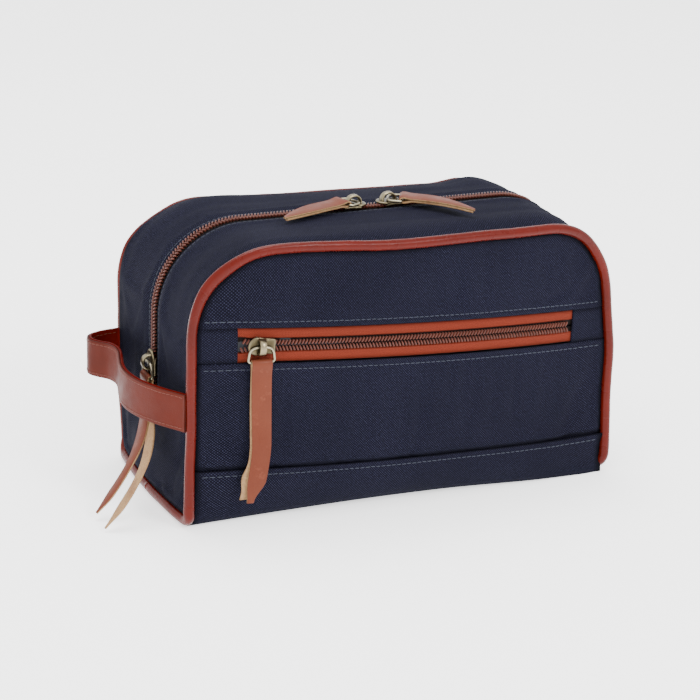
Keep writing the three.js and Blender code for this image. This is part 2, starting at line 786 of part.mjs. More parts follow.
const topCoilZ = bagHeight + mainCoilOffset;
const topPull = {
  length: topPullLength,
  sideView: flatSideView,
  outline: pointedOutline,
  bridgeTurn: 0,
};
addZipSlider('top_left', frameFrom([1, 0, 0], [0, 0, 1], [-topSliderX, 0, topCoilZ]), pullSlew, topPull);
addZipSlider('top_right', frameFrom([-1, 0, 0], [0, 0, 1], [topSliderX, 0, topCoilZ]), -pullSlew,
  topPull);

const endCoilX = -(endX + mainCoilOffset);
addZipSlider('end', frameFrom([0, 0, 1], [-1, 0, 0], [endCoilX, 0, endSliderZ]), 0, {
  length: endPullLength,
  sideView: flatSideView,
  outline: squareOutline,
  bridgeTurn: 0,
});

// The pocket slider stands on the crowned front, square to its arc and in line with the sloping
// zip. Its loop and pull hang plumb.
const pocketAngle = Math.asin(pocketSliderX / planArcRadius(frontCrown));
const pocketTilt = Math.atan(windowSlope);
const pocketAlong = [
  -Math.cos(pocketAngle) * Math.cos(pocketTilt),
  -Math.sin(pocketAngle) * Math.cos(pocketTilt),
  Math.sin(pocketTilt),
];
const pocketOut = [Math.sin(pocketAngle), -Math.cos(pocketAngle), 0];
const pocketOrigin = [
  pocketSliderX - pocketOut[0] * coilDepth,
  wallY(-1, pocketSliderX) - pocketOut[1] * coilDepth,
  pocketZipLine(pocketSliderX),
];
addZipSlider('pocket', frameFrom(pocketAlong, pocketOut, pocketOrigin), -Math.PI / 2 + pocketTilt, {
  length: pocketPullLength,
  sideView: partedSideView,
  outline: twinOutline,
  bridgeTurn: Math.PI / 2,
});

// The tails of the end pull lean out below the handle.
const tailTopX = endCoilX - barZ;
const tailTopZ = endSliderZ + barX - loopLength - endPullLength - gap;
const tailLean = THREE.MathUtils.degToRad(30);
const tailDrift = 10; // how far the tips lie to the front
const tailStart = 0.8; // clears the pull above while the tails swing
const tailTaperFrom = 0.75; // share of the length where the tips start to narrow
const tailTaper = 2.6; // how fast they narrow
const tailThinning = 0.2;

function tailGeometry() {
  const across = new THREE.Vector3(Math.cos(tailLean), 0, -Math.sin(tailLean));
  const rings = steps(0, 1, 4).map((share) => {
    const reach = tailStart + (endTailLength - tailStart) * share;
    const middle = new THREE.Vector3(
      tailTopX - Math.sin(tailLean) * reach,
      -tailDrift * share,
      tailTopZ - Math.cos(tailLean) * reach);
    const half = (pullWidth / 2) * (1 - Math.max(share - tailTaperFrom, 0) * tailTaper);
    const thick = leather * (1 - tailThinning * share);
    return [[-1, -1], [1, -1], [1, 1], [-1, 1]].map(([u, v]) => middle.clone()
      .addScaledVector(across, v * thick)
      .add(new THREE.Vector3(0, u * half, 0)));
  });
  return loft(rings, [[0, 1, 2], [0, 2, 3]]);
}

addPart('end_pull_tails', tailGeometry(), 'leather');

// ---------------------------------------------------------------- handle

const handleRoute = new THREE.CatmullRomCurve3([
  [-133.6, -56.4], [-140, -45], [-147.5, -27], [-153.5, -8], [-152.5, 3], [-150.5, 13],
  [-152.5, 26], [-158, 39], [-160, 47], [-156, 54.5], [-147, 58.3], [-133.6, 59],
].map(([x, y]) => new THREE.Vector3(x, y, 0)), false, 'centripetal');

// A strip of the handle between two shares of its route, laid beside the route by an offset.
function handleStrip(from, to, count, outside, inside) {
  const rings = steps(from, to, count).map((share) => {
    const point = handleRoute.getPointAt(share);
    const along = handleRoute.getTangentAt(share);
    const out = new THREE.Vector3(-along.y, along.x, 0);
    const corner = (reach, z) => new THREE.Vector3(point.x + out.x * reach, point.y + out.y * reach, z);
    return [corner(outside, handleLow), corner(outside, handleHigh), corner(inside, handleHigh),
      corner(inside, handleLow)];
  });
  return loft(rings, [[0, 1, 2], [0, 2, 3]]);
}

// Shares of the route: where each sewn end and the free strap between them start and stop.
const frontEndStart = 0.03;
const frontEndStop = 0.063;
const strapStart = 0.075;
const strapStop = 0.924;
const backEndStart = 0.944;
const backEndStop = 0.97;
const handleThickness = handleOuterLeather + gap + handleInnerLeather;
const strapSteps = 22;
addPart('handle_strap',
  handleStrip(strapStart, strapStop, strapSteps, 0, -handleOuterLeather), 'leather');
addPart('handle_lining', handleStrip(strapStart, strapStop, strapSteps,
  -handleOuterLeather - gap, -handleThickness), 'leather');
addPart('handle_end_front',
  handleStrip(frontEndStart, frontEndStop, 1, 0, -handleThickness), 'leather');
addPart('handle_end_back',
  handleStrip(backEndStart, backEndStop, 1, 0, -handleThickness), 'leather');

export default bag;
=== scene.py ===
"""Looks of a zip-top shaving kit bag: navy canvas, leather piping, coil zips, brass sliders,
folded leather pulls and a leather grab handle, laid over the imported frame."""

import math

import bpy
import numpy as np
from mathutils import Matrix, Vector, noise
from mathutils.bvhtree import BVHTree


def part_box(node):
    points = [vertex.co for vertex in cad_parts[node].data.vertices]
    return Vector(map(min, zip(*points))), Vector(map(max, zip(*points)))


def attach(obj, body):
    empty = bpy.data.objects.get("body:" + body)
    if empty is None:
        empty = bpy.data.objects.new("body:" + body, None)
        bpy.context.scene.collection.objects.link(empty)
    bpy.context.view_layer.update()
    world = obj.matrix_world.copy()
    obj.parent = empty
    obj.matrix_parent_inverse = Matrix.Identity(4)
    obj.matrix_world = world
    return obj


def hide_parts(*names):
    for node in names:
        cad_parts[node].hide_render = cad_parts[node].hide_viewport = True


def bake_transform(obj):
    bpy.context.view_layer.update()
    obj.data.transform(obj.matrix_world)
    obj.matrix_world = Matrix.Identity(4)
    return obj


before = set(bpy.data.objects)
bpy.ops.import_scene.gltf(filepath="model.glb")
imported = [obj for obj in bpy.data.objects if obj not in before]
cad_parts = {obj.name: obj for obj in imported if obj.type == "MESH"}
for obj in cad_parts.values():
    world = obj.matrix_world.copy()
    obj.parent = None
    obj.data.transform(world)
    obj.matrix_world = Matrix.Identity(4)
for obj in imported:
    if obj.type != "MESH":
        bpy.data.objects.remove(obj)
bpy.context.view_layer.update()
rng = np.random.default_rng(7)

# ---------------------------------------------------------------- sizes, in millimetres

MM = 0.001


def cad_box(node):
    """Lowest and highest corner of a CAD node, in millimetres."""
    low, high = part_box(node)
    return np.array(low) / MM, np.array(high) / MM


PIPING_RADIUS = 3.0
PIPING_INSET = 1.0  # the piping's centre lies this far inside the gusset's surface
END_X = cad_box("piping_right")[1][0] - PIPING_RADIUS + PIPING_INSET
HEIGHT = cad_box("front_lip_piping")[1][2] - PIPING_RADIUS + PIPING_INSET
HALF_DEPTH = 60.0  # from the middle to a piping seam, at the ends
CORNER = 48.0  # radius of the top corners, seen from the front
CROWN = {-1: 11.0, 1: 6.0}  # how far the front and the back bow out
GUSSET_CROWN = 5.0
FABRIC = 1.4
SEAM_Z = 30.0  # where the base meets the panels, at mid length
SEAM_SLOPE = 0.042
WINDOW_LOW = 91.5  # the opening in front of the pocket zip, at mid length
WINDOW_HIGH = 112.0
WINDOW_SLOPE = 0.057
WINDOW_LEFT = -108.0
WINDOW_RIGHT = 105.0
ZIP_END_Z = 64.0  # the main zip stops here on both ends
ZIP_EDGE = 4.7  # from the zip's middle to the folded edge of the gusset
FULL_CROWN = 4.9  # rise of the cloth gusset along the top
SHOULDER = 10  # its power: higher is squarer
SIDE_FULLNESS = 0.5  # extra rise of the cloth gusset down the ends
SHOULDER_Y = 58.8
ZIP_DIP = 1.9
COIL_DEPTH = 2.1  # the coil's middle lies this far under the cloth
TAPE_HALF = 11.0
POCKET_TAPE_HALF = 9.6
PIPING_SEAM_Y = HALF_DEPTH - 0.5
PIPING_FLOOR_Z = 3.6
PIPING_BEND = 7.5  # radius of the piping's bend under the bag
PIPING_FLOOR_INSET = 2.4
TUCK = {-1: 0.0, 1: 3.4}  # how far the back piping is drawn in behind the gusset's shoulder
PANEL_EDGE = 1.9  # how far a panel reaches beyond its CAD edge, under the piping
STITCH_INSET = 3.6  # from a folded edge of the window to its row of stitches
BASE_STITCH_INSET = 3.4
GUSSET_STITCH_INSET = 2.6
EDGE_DIP = 7.0  # the cloth dips towards the piping over this width
EDGE_POWER = 1.5
ARCH_X = END_X - CORNER
ARCH_Z = HEIGHT - CORNER
ARC_LENGTH = CORNER * math.pi / 2
ZIP_RUN = ARCH_X + ARC_LENGTH + ARCH_Z - ZIP_END_Z
PANEL_SIDE = END_X - PIPING_INSET - 3.3
PANEL_CORNER = CORNER - PIPING_INSET - 3.4
SIDES = (("front", -1), ("back", 1))
ENDS = (("left", -1), ("right", 1))

# ---------------------------------------------------------------- the bag's curved surfaces


def smooth(t):
    t = np.clip(t, 0.0, 1.0)
    return t * t * (3 - 2 * t)


def ramp(value, start, width):
    """0 up to start, then easing to 1 over width."""
    return smooth((value - start) / width)


def bow(x, crown):
    """Outward bow of a panel at x: an arc that is `crown` high over the bag's length."""
    radius = (END_X**2 + crown**2) / (2 * crown)
    return np.sqrt(radius**2 - np.asarray(x, float) ** 2) - (radius - crown)


def wall_y(side, x, depth=0.0):
    """y of the front (-1) or back (1) surface, or of a point `depth` under it."""
    return side * (HALF_DEPTH + bow(x, CROWN[side]) - depth)


def arch(run, offset):
    """x and z of the gusset's arch at a signed run from its top centre."""
    run = np.asarray(run, float)
    end, along = np.sign(run), np.abs(run)
    turn = np.clip((along - ARCH_X) / CORNER, 0, math.pi / 2)
    on_top, on_post = along <= ARCH_X, along > ARCH_X + ARC_LENGTH
    radius = CORNER + offset
    x = np.where(on_top, along, ARCH_X + radius * np.sin(turn))
    z = np.where(on_top, HEIGHT + offset, ARCH_Z + radius * np.cos(turn))
    x = np.where(on_post, END_X + offset, x)
    z = np.where(on_post, ARCH_Z - (along - ARCH_X - ARC_LENGTH), z)
    return end * x, z


def gusset_bow(y):
    """Rise of the frame's gusset above its sewn edges."""
    return GUSSET_CROWN * np.clip(1 - (np.asarray(y, float) / HALF_DEPTH) ** 2, 0, 1)


def soft_bow(run, y):
    """Rise of the cloth gusset: a full shoulder beside the piping and a dip along the zip."""
    reach = np.abs(np.asarray(y, float))
    top = FULL_CROWN * np.clip(1 - (reach / SHOULDER_Y) ** SHOULDER, 0, 1)
    side = gusset_bow(y) + SIDE_FULLNESS * np.clip(1 - (reach / SHOULDER_Y) ** 8, 0, 1)
    share = smooth((np.abs(run) - ARCH_X + 12) / ARC_LENGTH)
    dip = ZIP_DIP * smooth((ZIP_EDGE + 10.5 - reach) / 10)
    return top + (side - top) * share - dip


def panel_top(x, reach=0.0):
    """Height of a panel's top edge, or of a line `reach` beyond it."""
    over = np.clip(np.abs(x) - ARCH_X, 0, None)
    return ARCH_Z + np.sqrt(np.clip((PANEL_CORNER + reach) ** 2 - over**2, 0, None))


def sewn_line(side, height, slope):
    """Height of a seam: on the front it runs down to the right, on the back it is level."""
    fall = slope if side < 0 else 0.0
    return lambda x: height - fall * np.asarray(x, float)


def wrinkles(u, v, length, width, seed, octaves=2):
    """Soft noise that is long along u and narrow along v, from about -1 to 1."""
    u, v = np.broadcast_arrays(u, v)
    total = np.zeros(u.shape)
    for octave in range(octaves):
        scale = 2.0**octave
        flat = [
            noise.noise(Vector((a * scale / length, b * scale / width, seed + 7.3 * octave)))
            for a, b in zip(u.ravel(), v.ravel())
        ]
        total += np.array(flat).reshape(u.shape) / scale
    return total


# ---------------------------------------------------------------- materials


TURNS_PER_METRE = 2000 * math.pi  # divided by a pitch in millimetres, radians per metre


class Paint:
    """A material's node tree, with short calls for the nodes used here."""

    def __init__(self, name):
        self.material = bpy.data.materials.new(name)
        self.material.use_nodes = True
        self.tree = self.material.node_tree
        self.shader = self.tree.nodes["Principled BSDF"]

    def node(self, kind, inputs=(), **settings):
        made = self.tree.nodes.new(kind)
        for key, value in settings.items():
            setattr(made, key, value)
        for key, value in dict(inputs).items():
            self.feed(made.inputs[key], value)
        return made

    def feed(self, socket, value):
        if isinstance(value, bpy.types.NodeSocket):
            self.tree.links.new(value, socket)
        else:
            socket.default_value = value

    def math(self, operation, a, b=0.0, c=0.0):
        made = self.node("ShaderNodeMath", operation=operation)
        for i, value in enumerate((a, b, c)):
            self.feed(made.inputs[i], value)
        return made.outputs[0]

    def mix(self, share, a, b):
        made = self.node("ShaderNodeMix", data_type="RGBA")
        self.feed(made.inputs[0], share)
        for i, value in ((6, a), (7, b)):
            if isinstance(value, tuple):
                value = (*value, 1.0)
            self.feed(made.inputs[i], value)
        return made.outputs[2]

    def spread(self, value, low, high, new_low=0.0, new_high=1.0):
        made = self.node("ShaderNodeMapRange")
        for i, item in enumerate((value, low, high, new_low, new_high)):
            self.feed(made.inputs[i], item)
        return made.outputs[0]

    def noise(self, scale, detail=3.0, vector=None, roughness=0.55):
        inputs = {"Scale": scale, "Detail": detail, "Roughness": roughness}
        if vector is not None:
            inputs["Vector"] = vector
        return self.node("ShaderNodeTexNoise", inputs).outputs[0]

    def place(self):
        return self.node("ShaderNodeTexCoord").outputs["Object"]

    def uv(self):
        return self.node("ShaderNodeUVMap", uv_map="cloth").outputs[0]

    def attribute(self, name):
        return self.node("ShaderNodeAttribute", attribute_name=name).outputs["Fac"]

    def bump(self, height, distance, strength=1.0, under=None):
        inputs = {"Height": height, "Distance": distance, "Strength": strength}
        if under is not None:
            inputs["Normal"] = under
        return self.node("ShaderNodeBump", inputs).outputs[0]

    def finish(self, colour, roughness, normal=None, **fixed):
        if isinstance(colour, tuple):
            colour = (*colour, 1.0)
        self.feed(self.shader.inputs["Base Color"], colour)
        self.feed(self.shader.inputs["Roughness"], roughness)
        if normal is not None:
            self.feed(self.shader.inputs["Normal"], normal)
        for key, value in fixed.items():
            self.shader.inputs[key.replace("_", " ")].default_value = value
        return self.material


def canvas_paint(name, ground, thread, pitch=1.5):
    """A tight weave of small raised dots set in a diamond order over a dark ground."""
    paint = Paint(name)
    split = paint.node("ShaderNodeSeparateXYZ", {0: paint.uv()})
    wander = paint.noise(420.0, 2.0, paint.uv())
    shift = paint.spread(wander, 0.2, 0.8, -0.00022, 0.00022)
    waves = []
    for axis in (0, 1):
        moved = paint.math("ADD", split.outputs[axis], shift)
        waves.append(paint.math("COSINE", paint.math("MULTIPLY", moved, TURNS_PER_METRE / pitch)))
    dots = paint.spread(paint.math("MULTIPLY", *waves), -0.15, 0.9)
    speckle = paint.noise(700.0, 2.0, paint.uv(), 0.7)
    lit = paint.math("MULTIPLY", dots, paint.spread(speckle, 0.3, 0.7, 0.25, 1.0))
    colour = paint.mix(lit, ground, thread)
    patches = paint.noise(14.0, 3.0, paint.place())
    dark = tuple(c * 0.72 for c in ground)
    colour = paint.mix(paint.spread(patches, 0.25, 0.75, 0.0, 0.35), colour, dark)
    # painted shade: the rim attribute mixes the cloth towards near black along seams, hems, the window's
    # edges and the piping
    seam = tuple(c * 0.18 for c in ground)
    colour = paint.mix(paint.attribute("rim"), colour, seam)
    weave = paint.bump(dots, 0.00016, 0.8)
    lint = paint.bump(paint.noise(1600.0, 2.0, paint.place()), 0.00008, 0.6, weave)
    rough = paint.spread(speckle, 0.2, 0.8, 0.82, 0.98)
    return paint.finish(colour, rough, lint, Specular_IOR_Level=0.06)


def leather_paint(name, base, dark, rough, grain, gloss, worn=None):
    """Leather with a pebbled grain, pores, cloudy colour and darker, burnished edges."""
    paint = Paint(name)
    place = paint.place()
    clouds = paint.noise(38.0, 4.0, place)
    colour = paint.mix(paint.spread(clouds, 0.3, 0.7, 0.0, 0.75), base, dark)
    if worn:
        marks = paint.noise(150.0, 5.0, place, 0.7)
        colour = paint.mix(paint.spread(marks, 0.58, 0.74, 0.0, 0.5), colour, worn)
    rim = paint.attribute("rim")
    colour = paint.mix(paint.math("MULTIPLY", rim, 0.65), colour, tuple(c * 0.45 for c in dark))
    cells = paint.node("ShaderNodeTexVoronoi", {"Vector": place, "Scale": 900.0 / grain},
                       feature="DISTANCE_TO_EDGE").outputs[0]
    pebble = paint.bump(paint.spread(cells, 0.0, 0.25), 0.00006 * grain, 0.55)
    soft = paint.bump(paint.noise(220.0, 4.0, place), 0.00018, 0.5, pebble)
    shine = paint.spread(paint.noise(90.0, 3.0, place), 0.3, 0.7, rough - 0.06, rough + 0.1)
    return paint.finish(colour, shine, soft, Specular_IOR_Level=gloss)


def raw_hide_paint():
    """The pale, fibrous cut edge and flesh side of the leather."""
    paint = Paint("raw_hide")
    place = paint.place()
    fibres = paint.noise(900.0, 4.0, place, 0.7)
    colour = paint.mix(paint.spread(fibres, 0.3, 0.7), (0.20, 0.105, 0.040), (0.33, 0.20, 0.095))
    stains = paint.spread(paint.noise(120.0, 3.0, place), 0.5, 0.75, 0.0, 0.5)
    colour = paint.mix(stains, colour, (0.14, 0.05, 0.022))
    return paint.finish(colour, 0.88, paint.bump(fibres, 0.00015, 0.9))


def tape_paint():
    """Woven zip tape: fine herringbone ribs along the zip, with a few raised cords."""
    paint = Paint("rust_tape")
    rib_pitch = 0.9
    split = paint.node("ShaderNodeSeparateXYZ", {0: paint.uv()})
    along, across = split.outputs[0], split.outputs[1]
    slant = paint.math("ADD", along, paint.math("ABSOLUTE", paint.math("PINGPONG", across, 0.0012)))
    rib = paint.math("SINE", paint.math("MULTIPLY", slant, TURNS_PER_METRE / rib_pitch))
    rib = paint.spread(rib, -0.7, 0.9)
    speckle = paint.noise(1100.0, 2.0, paint.uv(), 0.7)
    mixed = paint.math("MULTIPLY", rib, paint.spread(speckle, 0.3, 0.7, 0.4, 1.0))
    colour = paint.mix(mixed, (0.088, 0.010, 0.004), (0.215, 0.031, 0.012))
    # painted shade: the tape under and beside the coil goes near black
    colour = paint.mix(paint.attribute("rim"), colour, (0.004, 0.0015, 0.001))
    normal = paint.bump(rib, 0.00012, 0.8)
    return paint.finish(colour, 0.8, normal, Specular_IOR_Level=0.15)


def coil_paint():
    """Moulded nylon coil, glossy on top of each turn and dark between them."""
    paint = Paint("brown_coil")
    tone = paint.noise(260.0, 2.0, paint.place())
    colour = paint.mix(tone, (0.048, 0.010, 0.0055), (0.105, 0.026, 0.0145))
    return paint.finish(colour, 0.36, paint.bump(tone, 0.00005, 0.4), Specular_IOR_Level=0.3)


def brass_paint(name, dark, bright):
    """Antique brass: a dark brown patina that is rubbed bright where it stands proud."""
    paint = Paint(name)
    place = paint.place()
    worn = paint.node("ShaderNodeNewGeometry").outputs["Pointiness"]
    rubbed = paint.spread(worn, 0.5, 0.58)
    blotches = paint.noise(330.0, 4.0, place, 0.65)
    share = paint.math("MAXIMUM", rubbed, paint.spread(blotches, 0.5, 0.72, 0.0, 0.6))
    colour = paint.mix(share, dark, bright)
    scratches = paint.noise(1500.0, 3.0, place, 0.6)
    rough = paint.spread(scratches, 0.2, 0.8, 0.24, 0.46)
    return paint.finish(colour, rough, paint.bump(scratches, 0.00003, 0.5), Metallic=1.0)


def thread_paint(name, colour, light):
    """Twisted sewing thread."""
    paint = Paint(name)
    twist = paint.noise(2600.0, 2.0, paint.place(), 0.7)
    return paint.finish(paint.mix(twist, colour, light), 0.7, paint.bump(twist, 0.00006, 0.7))


def lining_paint():
    """Smooth dark lining cloth with a fine plain weave, its colour darkened further to paint the shade
    inside the pocket and the bag.
    """
    paint = Paint("dark_lining")
    split = paint.node("ShaderNodeSeparateXYZ", {0: paint.uv()})
    thread_pitch = 0.6
    waves = [paint.math("SINE", paint.math("MULTIPLY", split.outputs[axis], TURNS_PER_METRE / thread_pitch))
             for axis in (0, 1)]
    weave = paint.math("MULTIPLY", *waves)
    tone = paint.noise(60.0, 3.0, paint.place())
    # dark cloth colour, also darkened to paint the shade inside the pocket
    colour = paint.mix(tone, (0.006, 0.007, 0.010), (0.015, 0.017, 0.022))
    return paint.finish(colour, 0.75, paint.bump(weave, 0.00006, 0.6), Sheen_Weight=0.1)


def board_paint():
    """Black pressed board with a fibrous face."""
    paint = Paint("black_board")
    fibres = paint.noise(700.0, 5.0, paint.place(), 0.7)
    colour = paint.mix(fibres, (0.010, 0.010, 0.011), (0.025, 0.025, 0.027))
    return paint.finish(colour, 0.75, paint.bump(fibres, 0.0001, 0.5))


CANVAS = canvas_paint("navy_canvas", (0.0014, 0.0015, 0.0042), (0.041, 0.041, 0.079))
PIPING = leather_paint("piping_leather", (0.088, 0.0040, 0.0006), (0.054, 0.0027, 0.0005),
                       rough=0.25, grain=0.8, gloss=0.15)
HANDLE = leather_paint("handle_leather", (0.134, 0.0036, 0.0004), (0.094, 0.0024, 0.0003),
                       rough=0.38, grain=0.7, gloss=0.02)
HANDLE_INNER = leather_paint("handle_inner_leather", (0.09, 0.010, 0.003), (0.055, 0.006, 0.002),
                             rough=0.5, grain=1.0, gloss=0.12)
PULL = leather_paint("pull_leather", (0.138, 0.033, 0.015), (0.098, 0.019, 0.008),
                     rough=0.45, grain=1.1, gloss=0.14, worn=(0.23, 0.065, 0.036))
RAW = raw_hide_paint()
TAPE = tape_paint()
COIL = coil_paint()
BRASS = brass_paint("antique_brass", (0.045, 0.035, 0.018), (0.26, 0.22, 0.135))
WIRE = brass_paint("bright_brass", (0.15, 0.125, 0.075), (0.38, 0.34, 0.24))
BLUE_THREAD = thread_paint("blue_thread", (0.010, 0.013, 0.023), (0.027, 0.034, 0.055))
RUST_THREAD = thread_paint("rust_thread", (0.07, 0.010, 0.004), (0.13, 0.026, 0.011))
LINING = lining_paint()
BOARD = board_paint()

# ---------------------------------------------------------------- mesh helpers


def add_mesh(name, points, faces, materials, uv=None, rim=None, choice=None):
    """One smooth mesh object from points in millimetres. uv holds metres, one pair a point.

    rim is a shade for each point, and choice a material's index for each face."""
    mesh = bpy.data.meshes.new(name)
    points = np.asarray(points, float).reshape(-1, 3)
    mesh.from_pydata((points * MM).tolist(), [], [list(map(int, f)) for f in faces])
    if not isinstance(materials, (list, tuple)):
        materials = [materials]
    for material in materials:
        mesh.materials.append(material)
    mesh.polygons.foreach_set("use_smooth", [True] * len(mesh.polygons))
    if choice is not None:
        mesh.polygons.foreach_set("material_index", list(choice))
    if uv is not None:
        layer = mesh.uv_layers.new(name="cloth")
        index = np.zeros(len(mesh.loops), int)
        mesh.loops.foreach_get("vertex_index", index)
        layer.data.foreach_set("uv", np.asarray(uv, float).reshape(-1, 2)[index].ravel())
    if rim is not None:
        attribute = mesh.attributes.new("rim", "FLOAT", "POINT")
        attribute.data.foreach_set("value", np.asarray(rim, float).ravel())
    mesh.update()
    made = bpy.data.objects.new(name, mesh)
    bpy.context.scene.collection.objects.link(made)
    return made


def grid_faces(rows, columns, wrap_rows=False, wrap_columns=False):
    faces = []
    for i in range(rows if wrap_rows else rows - 1):
        for j in range(columns if wrap_columns else columns - 1):
            k, m = (i + 1) % rows, (j + 1) % columns
            faces.append((i * columns + j, k * columns + j, k * columns + m, i * columns + m))
    return faces


def coords(made):
    """An object's points, in metres."""
    flat = np.zeros(len(made.data.vertices) * 3)
    made.data.vertices.foreach_get("co", flat)
    return flat.reshape(-1, 3)


def put_coords(made, points):
    made.data.vertices.foreach_set("co", np.asarray(points, float).ravel())
    made.data.update()


def apply_modifiers(made):
    graph = bpy.context.evaluated_depsgraph_get()
    fresh = bpy.data.meshes.new_from_object(made.evaluated_get(graph), preserve_all_data_layers=True,
                                            depsgraph=graph)
    made.modifiers.clear()
    made.data = fresh


def thicken(made, thickness):
    """Gives a sheet its cloth's thickness on the side away from its normals."""
    modifier = made.modifiers.new("thickness", "SOLIDIFY")
    modifier.thickness = thickness * MM
    modifier.offset = -1.0
    apply_modifiers(made)
    return made


def sheet(name, points, uv, material, outward=None, rim=None):
    """A sheet of cloth over a grid of points, thickened away from `outward`."""
    rows, columns = points.shape[:2]
    faces = grid_faces(rows, columns)
    middle = points[rows // 2, columns // 2]
    a = points[rows // 2 + 1, columns // 2] - middle
    b = points[rows // 2, columns // 2 + 1] - middle
    if outward is not None and np.dot(np.cross(a, b), outward) < 0:
        faces = [face[::-1] for face in faces]
    return add_mesh(name, points, faces, material, uv, rim)


def unit(vectors):
    return vectors / np.linalg.norm(vectors, axis=1)[:, None]


def reach_along(path):
    """Distance along a line, at each of its points."""
    return np.concatenate([[0], np.cumsum(np.linalg.norm(np.diff(path, axis=0), axis=1))])


def at_reach(at, reach, values):
    """The x, y and z that belong to a line's points, read at some distances along it."""
    return np.stack([np.interp(at, reach, values[:, k]) for k in range(3)], 1)


def frames_along(path, up):
    """Unit tangents, normals near `up`, and sideways directions along a path."""
    path = np.asarray(path, float)
    along = unit(np.gradient(path, axis=0))
    up = np.broadcast_to(np.asarray(up, float), path.shape)
    side = unit(np.cross(along, up))
    return along, np.cross(side, along), side


def resample(path, step):
    """The same line with points an equal step apart."""
    path = np.asarray(path, float)
    reach = reach_along(path)
    count = max(int(round(reach[-1] / step)), 2)
    return at_reach(np.linspace(0, reach[-1], count + 1), reach, path)


def blend_points(a, b, start, stop, t):
    return ((stop - t) * a + (t - start) * b) / (stop - start)


def curve_through(points, per_span=8, closed=False):
    """A smooth line through points: centripetal Catmull-Rom."""
    points = [np.asarray(p, float) for p in points]
    count = len(points)
    if closed:
        near = lambda i: points[i % count]
        spans = count
    else:
        first = 2 * points[0] - points[1]
        last = 2 * points[-1] - points[-2]
        padded = [first, *points, last]
        near = lambda i: padded[min(max(i + 1, 0), count + 1)]
        spans = count - 1
    line = []
    for i in range(spans):
        p = [near(i - 1), near(i), near(i + 1), near(i + 2)]
        knots = [0.0]
        for a, b in zip(p, p[1:]):
            knots.append(knots[-1] + max(np.linalg.norm(b - a), 1e-6) ** 0.5)
        for t in np.linspace(knots[1], knots[2], per_span, endpoint=False):
            a1, a2, a3 = (blend_points(p[k], p[k + 1], knots[k], knots[k + 1], t) for k in range(3))
            b1 = blend_points(a1, a2, knots[0], knots[2], t)
            b2 = blend_points(a2, a3, knots[1], knots[3], t)
            line.append(blend_points(b1, b2, knots[1], knots[2], t))
    if not closed:
        line.append(points[-1])
    return np.array(line)


def end_caps(rows, columns):
    """The two faces that close the ends of a tube of points."""
    return [tuple(range(columns))[::-1], tuple((rows - 1) * columns + j for j in range(columns))]


def tube(path, radius, up=(0, 0, 1), sides=12, closed=False):
    """Points and faces of a round bar. radius may vary along the path."""
    path = np.asarray(path, float)
    if closed:
        ring = np.concatenate([path[-2:], path, path[:2]])
        _, normal, side = (a[2:-2] for a in frames_along(ring, up))
    else:
        _, normal, side = frames_along(path, up)
    radius = np.broadcast_to(np.asarray(radius, float), len(path))
    turns = np.linspace(0, 2 * math.pi, sides, endpoint=False)
    spokes = np.cos(turns)[None, :, None] * side[:, None] + np.sin(turns)[None, :, None] * normal[:, None]
    points = path[:, None] + radius[:, None, None] * spokes
    faces = grid_faces(len(path), sides, wrap_rows=closed, wrap_columns=True)
    if not closed:
        faces += end_caps(len(path), sides)
    return points.reshape(-1, 3), faces


def joined(parts):
    """Several (points, faces) as one."""
    points, faces, start = [], [], 0
    for some_points, some_faces in parts:
        points.append(np.asarray(some_points, float).reshape(-1, 3))
        faces += [tuple(start + i for i in face) for face in some_faces]
        start += len(points[-1])
    return np.concatenate(points), faces


def copies(template, origins, along, normal, stretch=None):
    """One mesh of many small copies: template x runs along, z along the normal."""
    points, faces = template
    along = unit(along)
    side = unit(np.cross(normal, along))
    up = np.cross(along, side)
    scale = np.ones(len(origins)) if stretch is None else stretch
    made = (origins[:, None]
            + points[None, :, :1] * along[:, None] * scale[:, None, None]
            + points[None, :, 1:2] * side[:, None]
            + points[None, :, 2:] * up[:, None])
    count = len(points)
    all_faces = [tuple(n * count + i for i in face) for n in range(len(origins)) for face in faces]
    return made.reshape(-1, 3), all_faces


def pod(length, width, height, rings=5, sides=8):
    """A small rounded bar along x, for stitches and coil turns."""
    xs = -np.cos(np.linspace(0, math.pi, rings)) * length / 2
    size = np.sin(np.linspace(0.32, math.pi - 0.32, rings)) ** 0.6
    turns = np.linspace(0, 2 * math.pi, sides, endpoint=False)
    points = np.array([[x, s * width / 2 * math.cos(t), s * height / 2 * math.sin(t)]
                       for x, s in zip(xs, size) for t in turns])
    return points, grid_faces(rings, sides, wrap_columns=True) + end_caps(rings, sides)


STITCH = pod(2.5, 0.52, 0.44)


def stitch_parts(path, normals, spacing=3.3, lift=0.08):
    """A row of stitches lying on a line of surface points."""
    path = np.asarray(path, float)
    normals = np.broadcast_to(np.asarray(normals, float), path.shape)
    reach = reach_along(path)
    at = np.arange(spacing, reach[-1] - spacing * 0.6, spacing)
    origin, normal = at_reach(at, reach, path), at_reach(at, reach, normals)
    along = at_reach(at + 0.5, reach, path) - origin
    side = np.cross(normal, unit(along))
    along = along + side * rng.normal(0, 0.035, len(at))[:, None]
    origin = origin + normal * lift + side * rng.normal(0, 0.05, len(at))[:, None]
    return copies(STITCH, origin, along, normal, rng.normal(1, 0.05, len(at)))


# ---------------------------------------------------------------- how the real bag stands

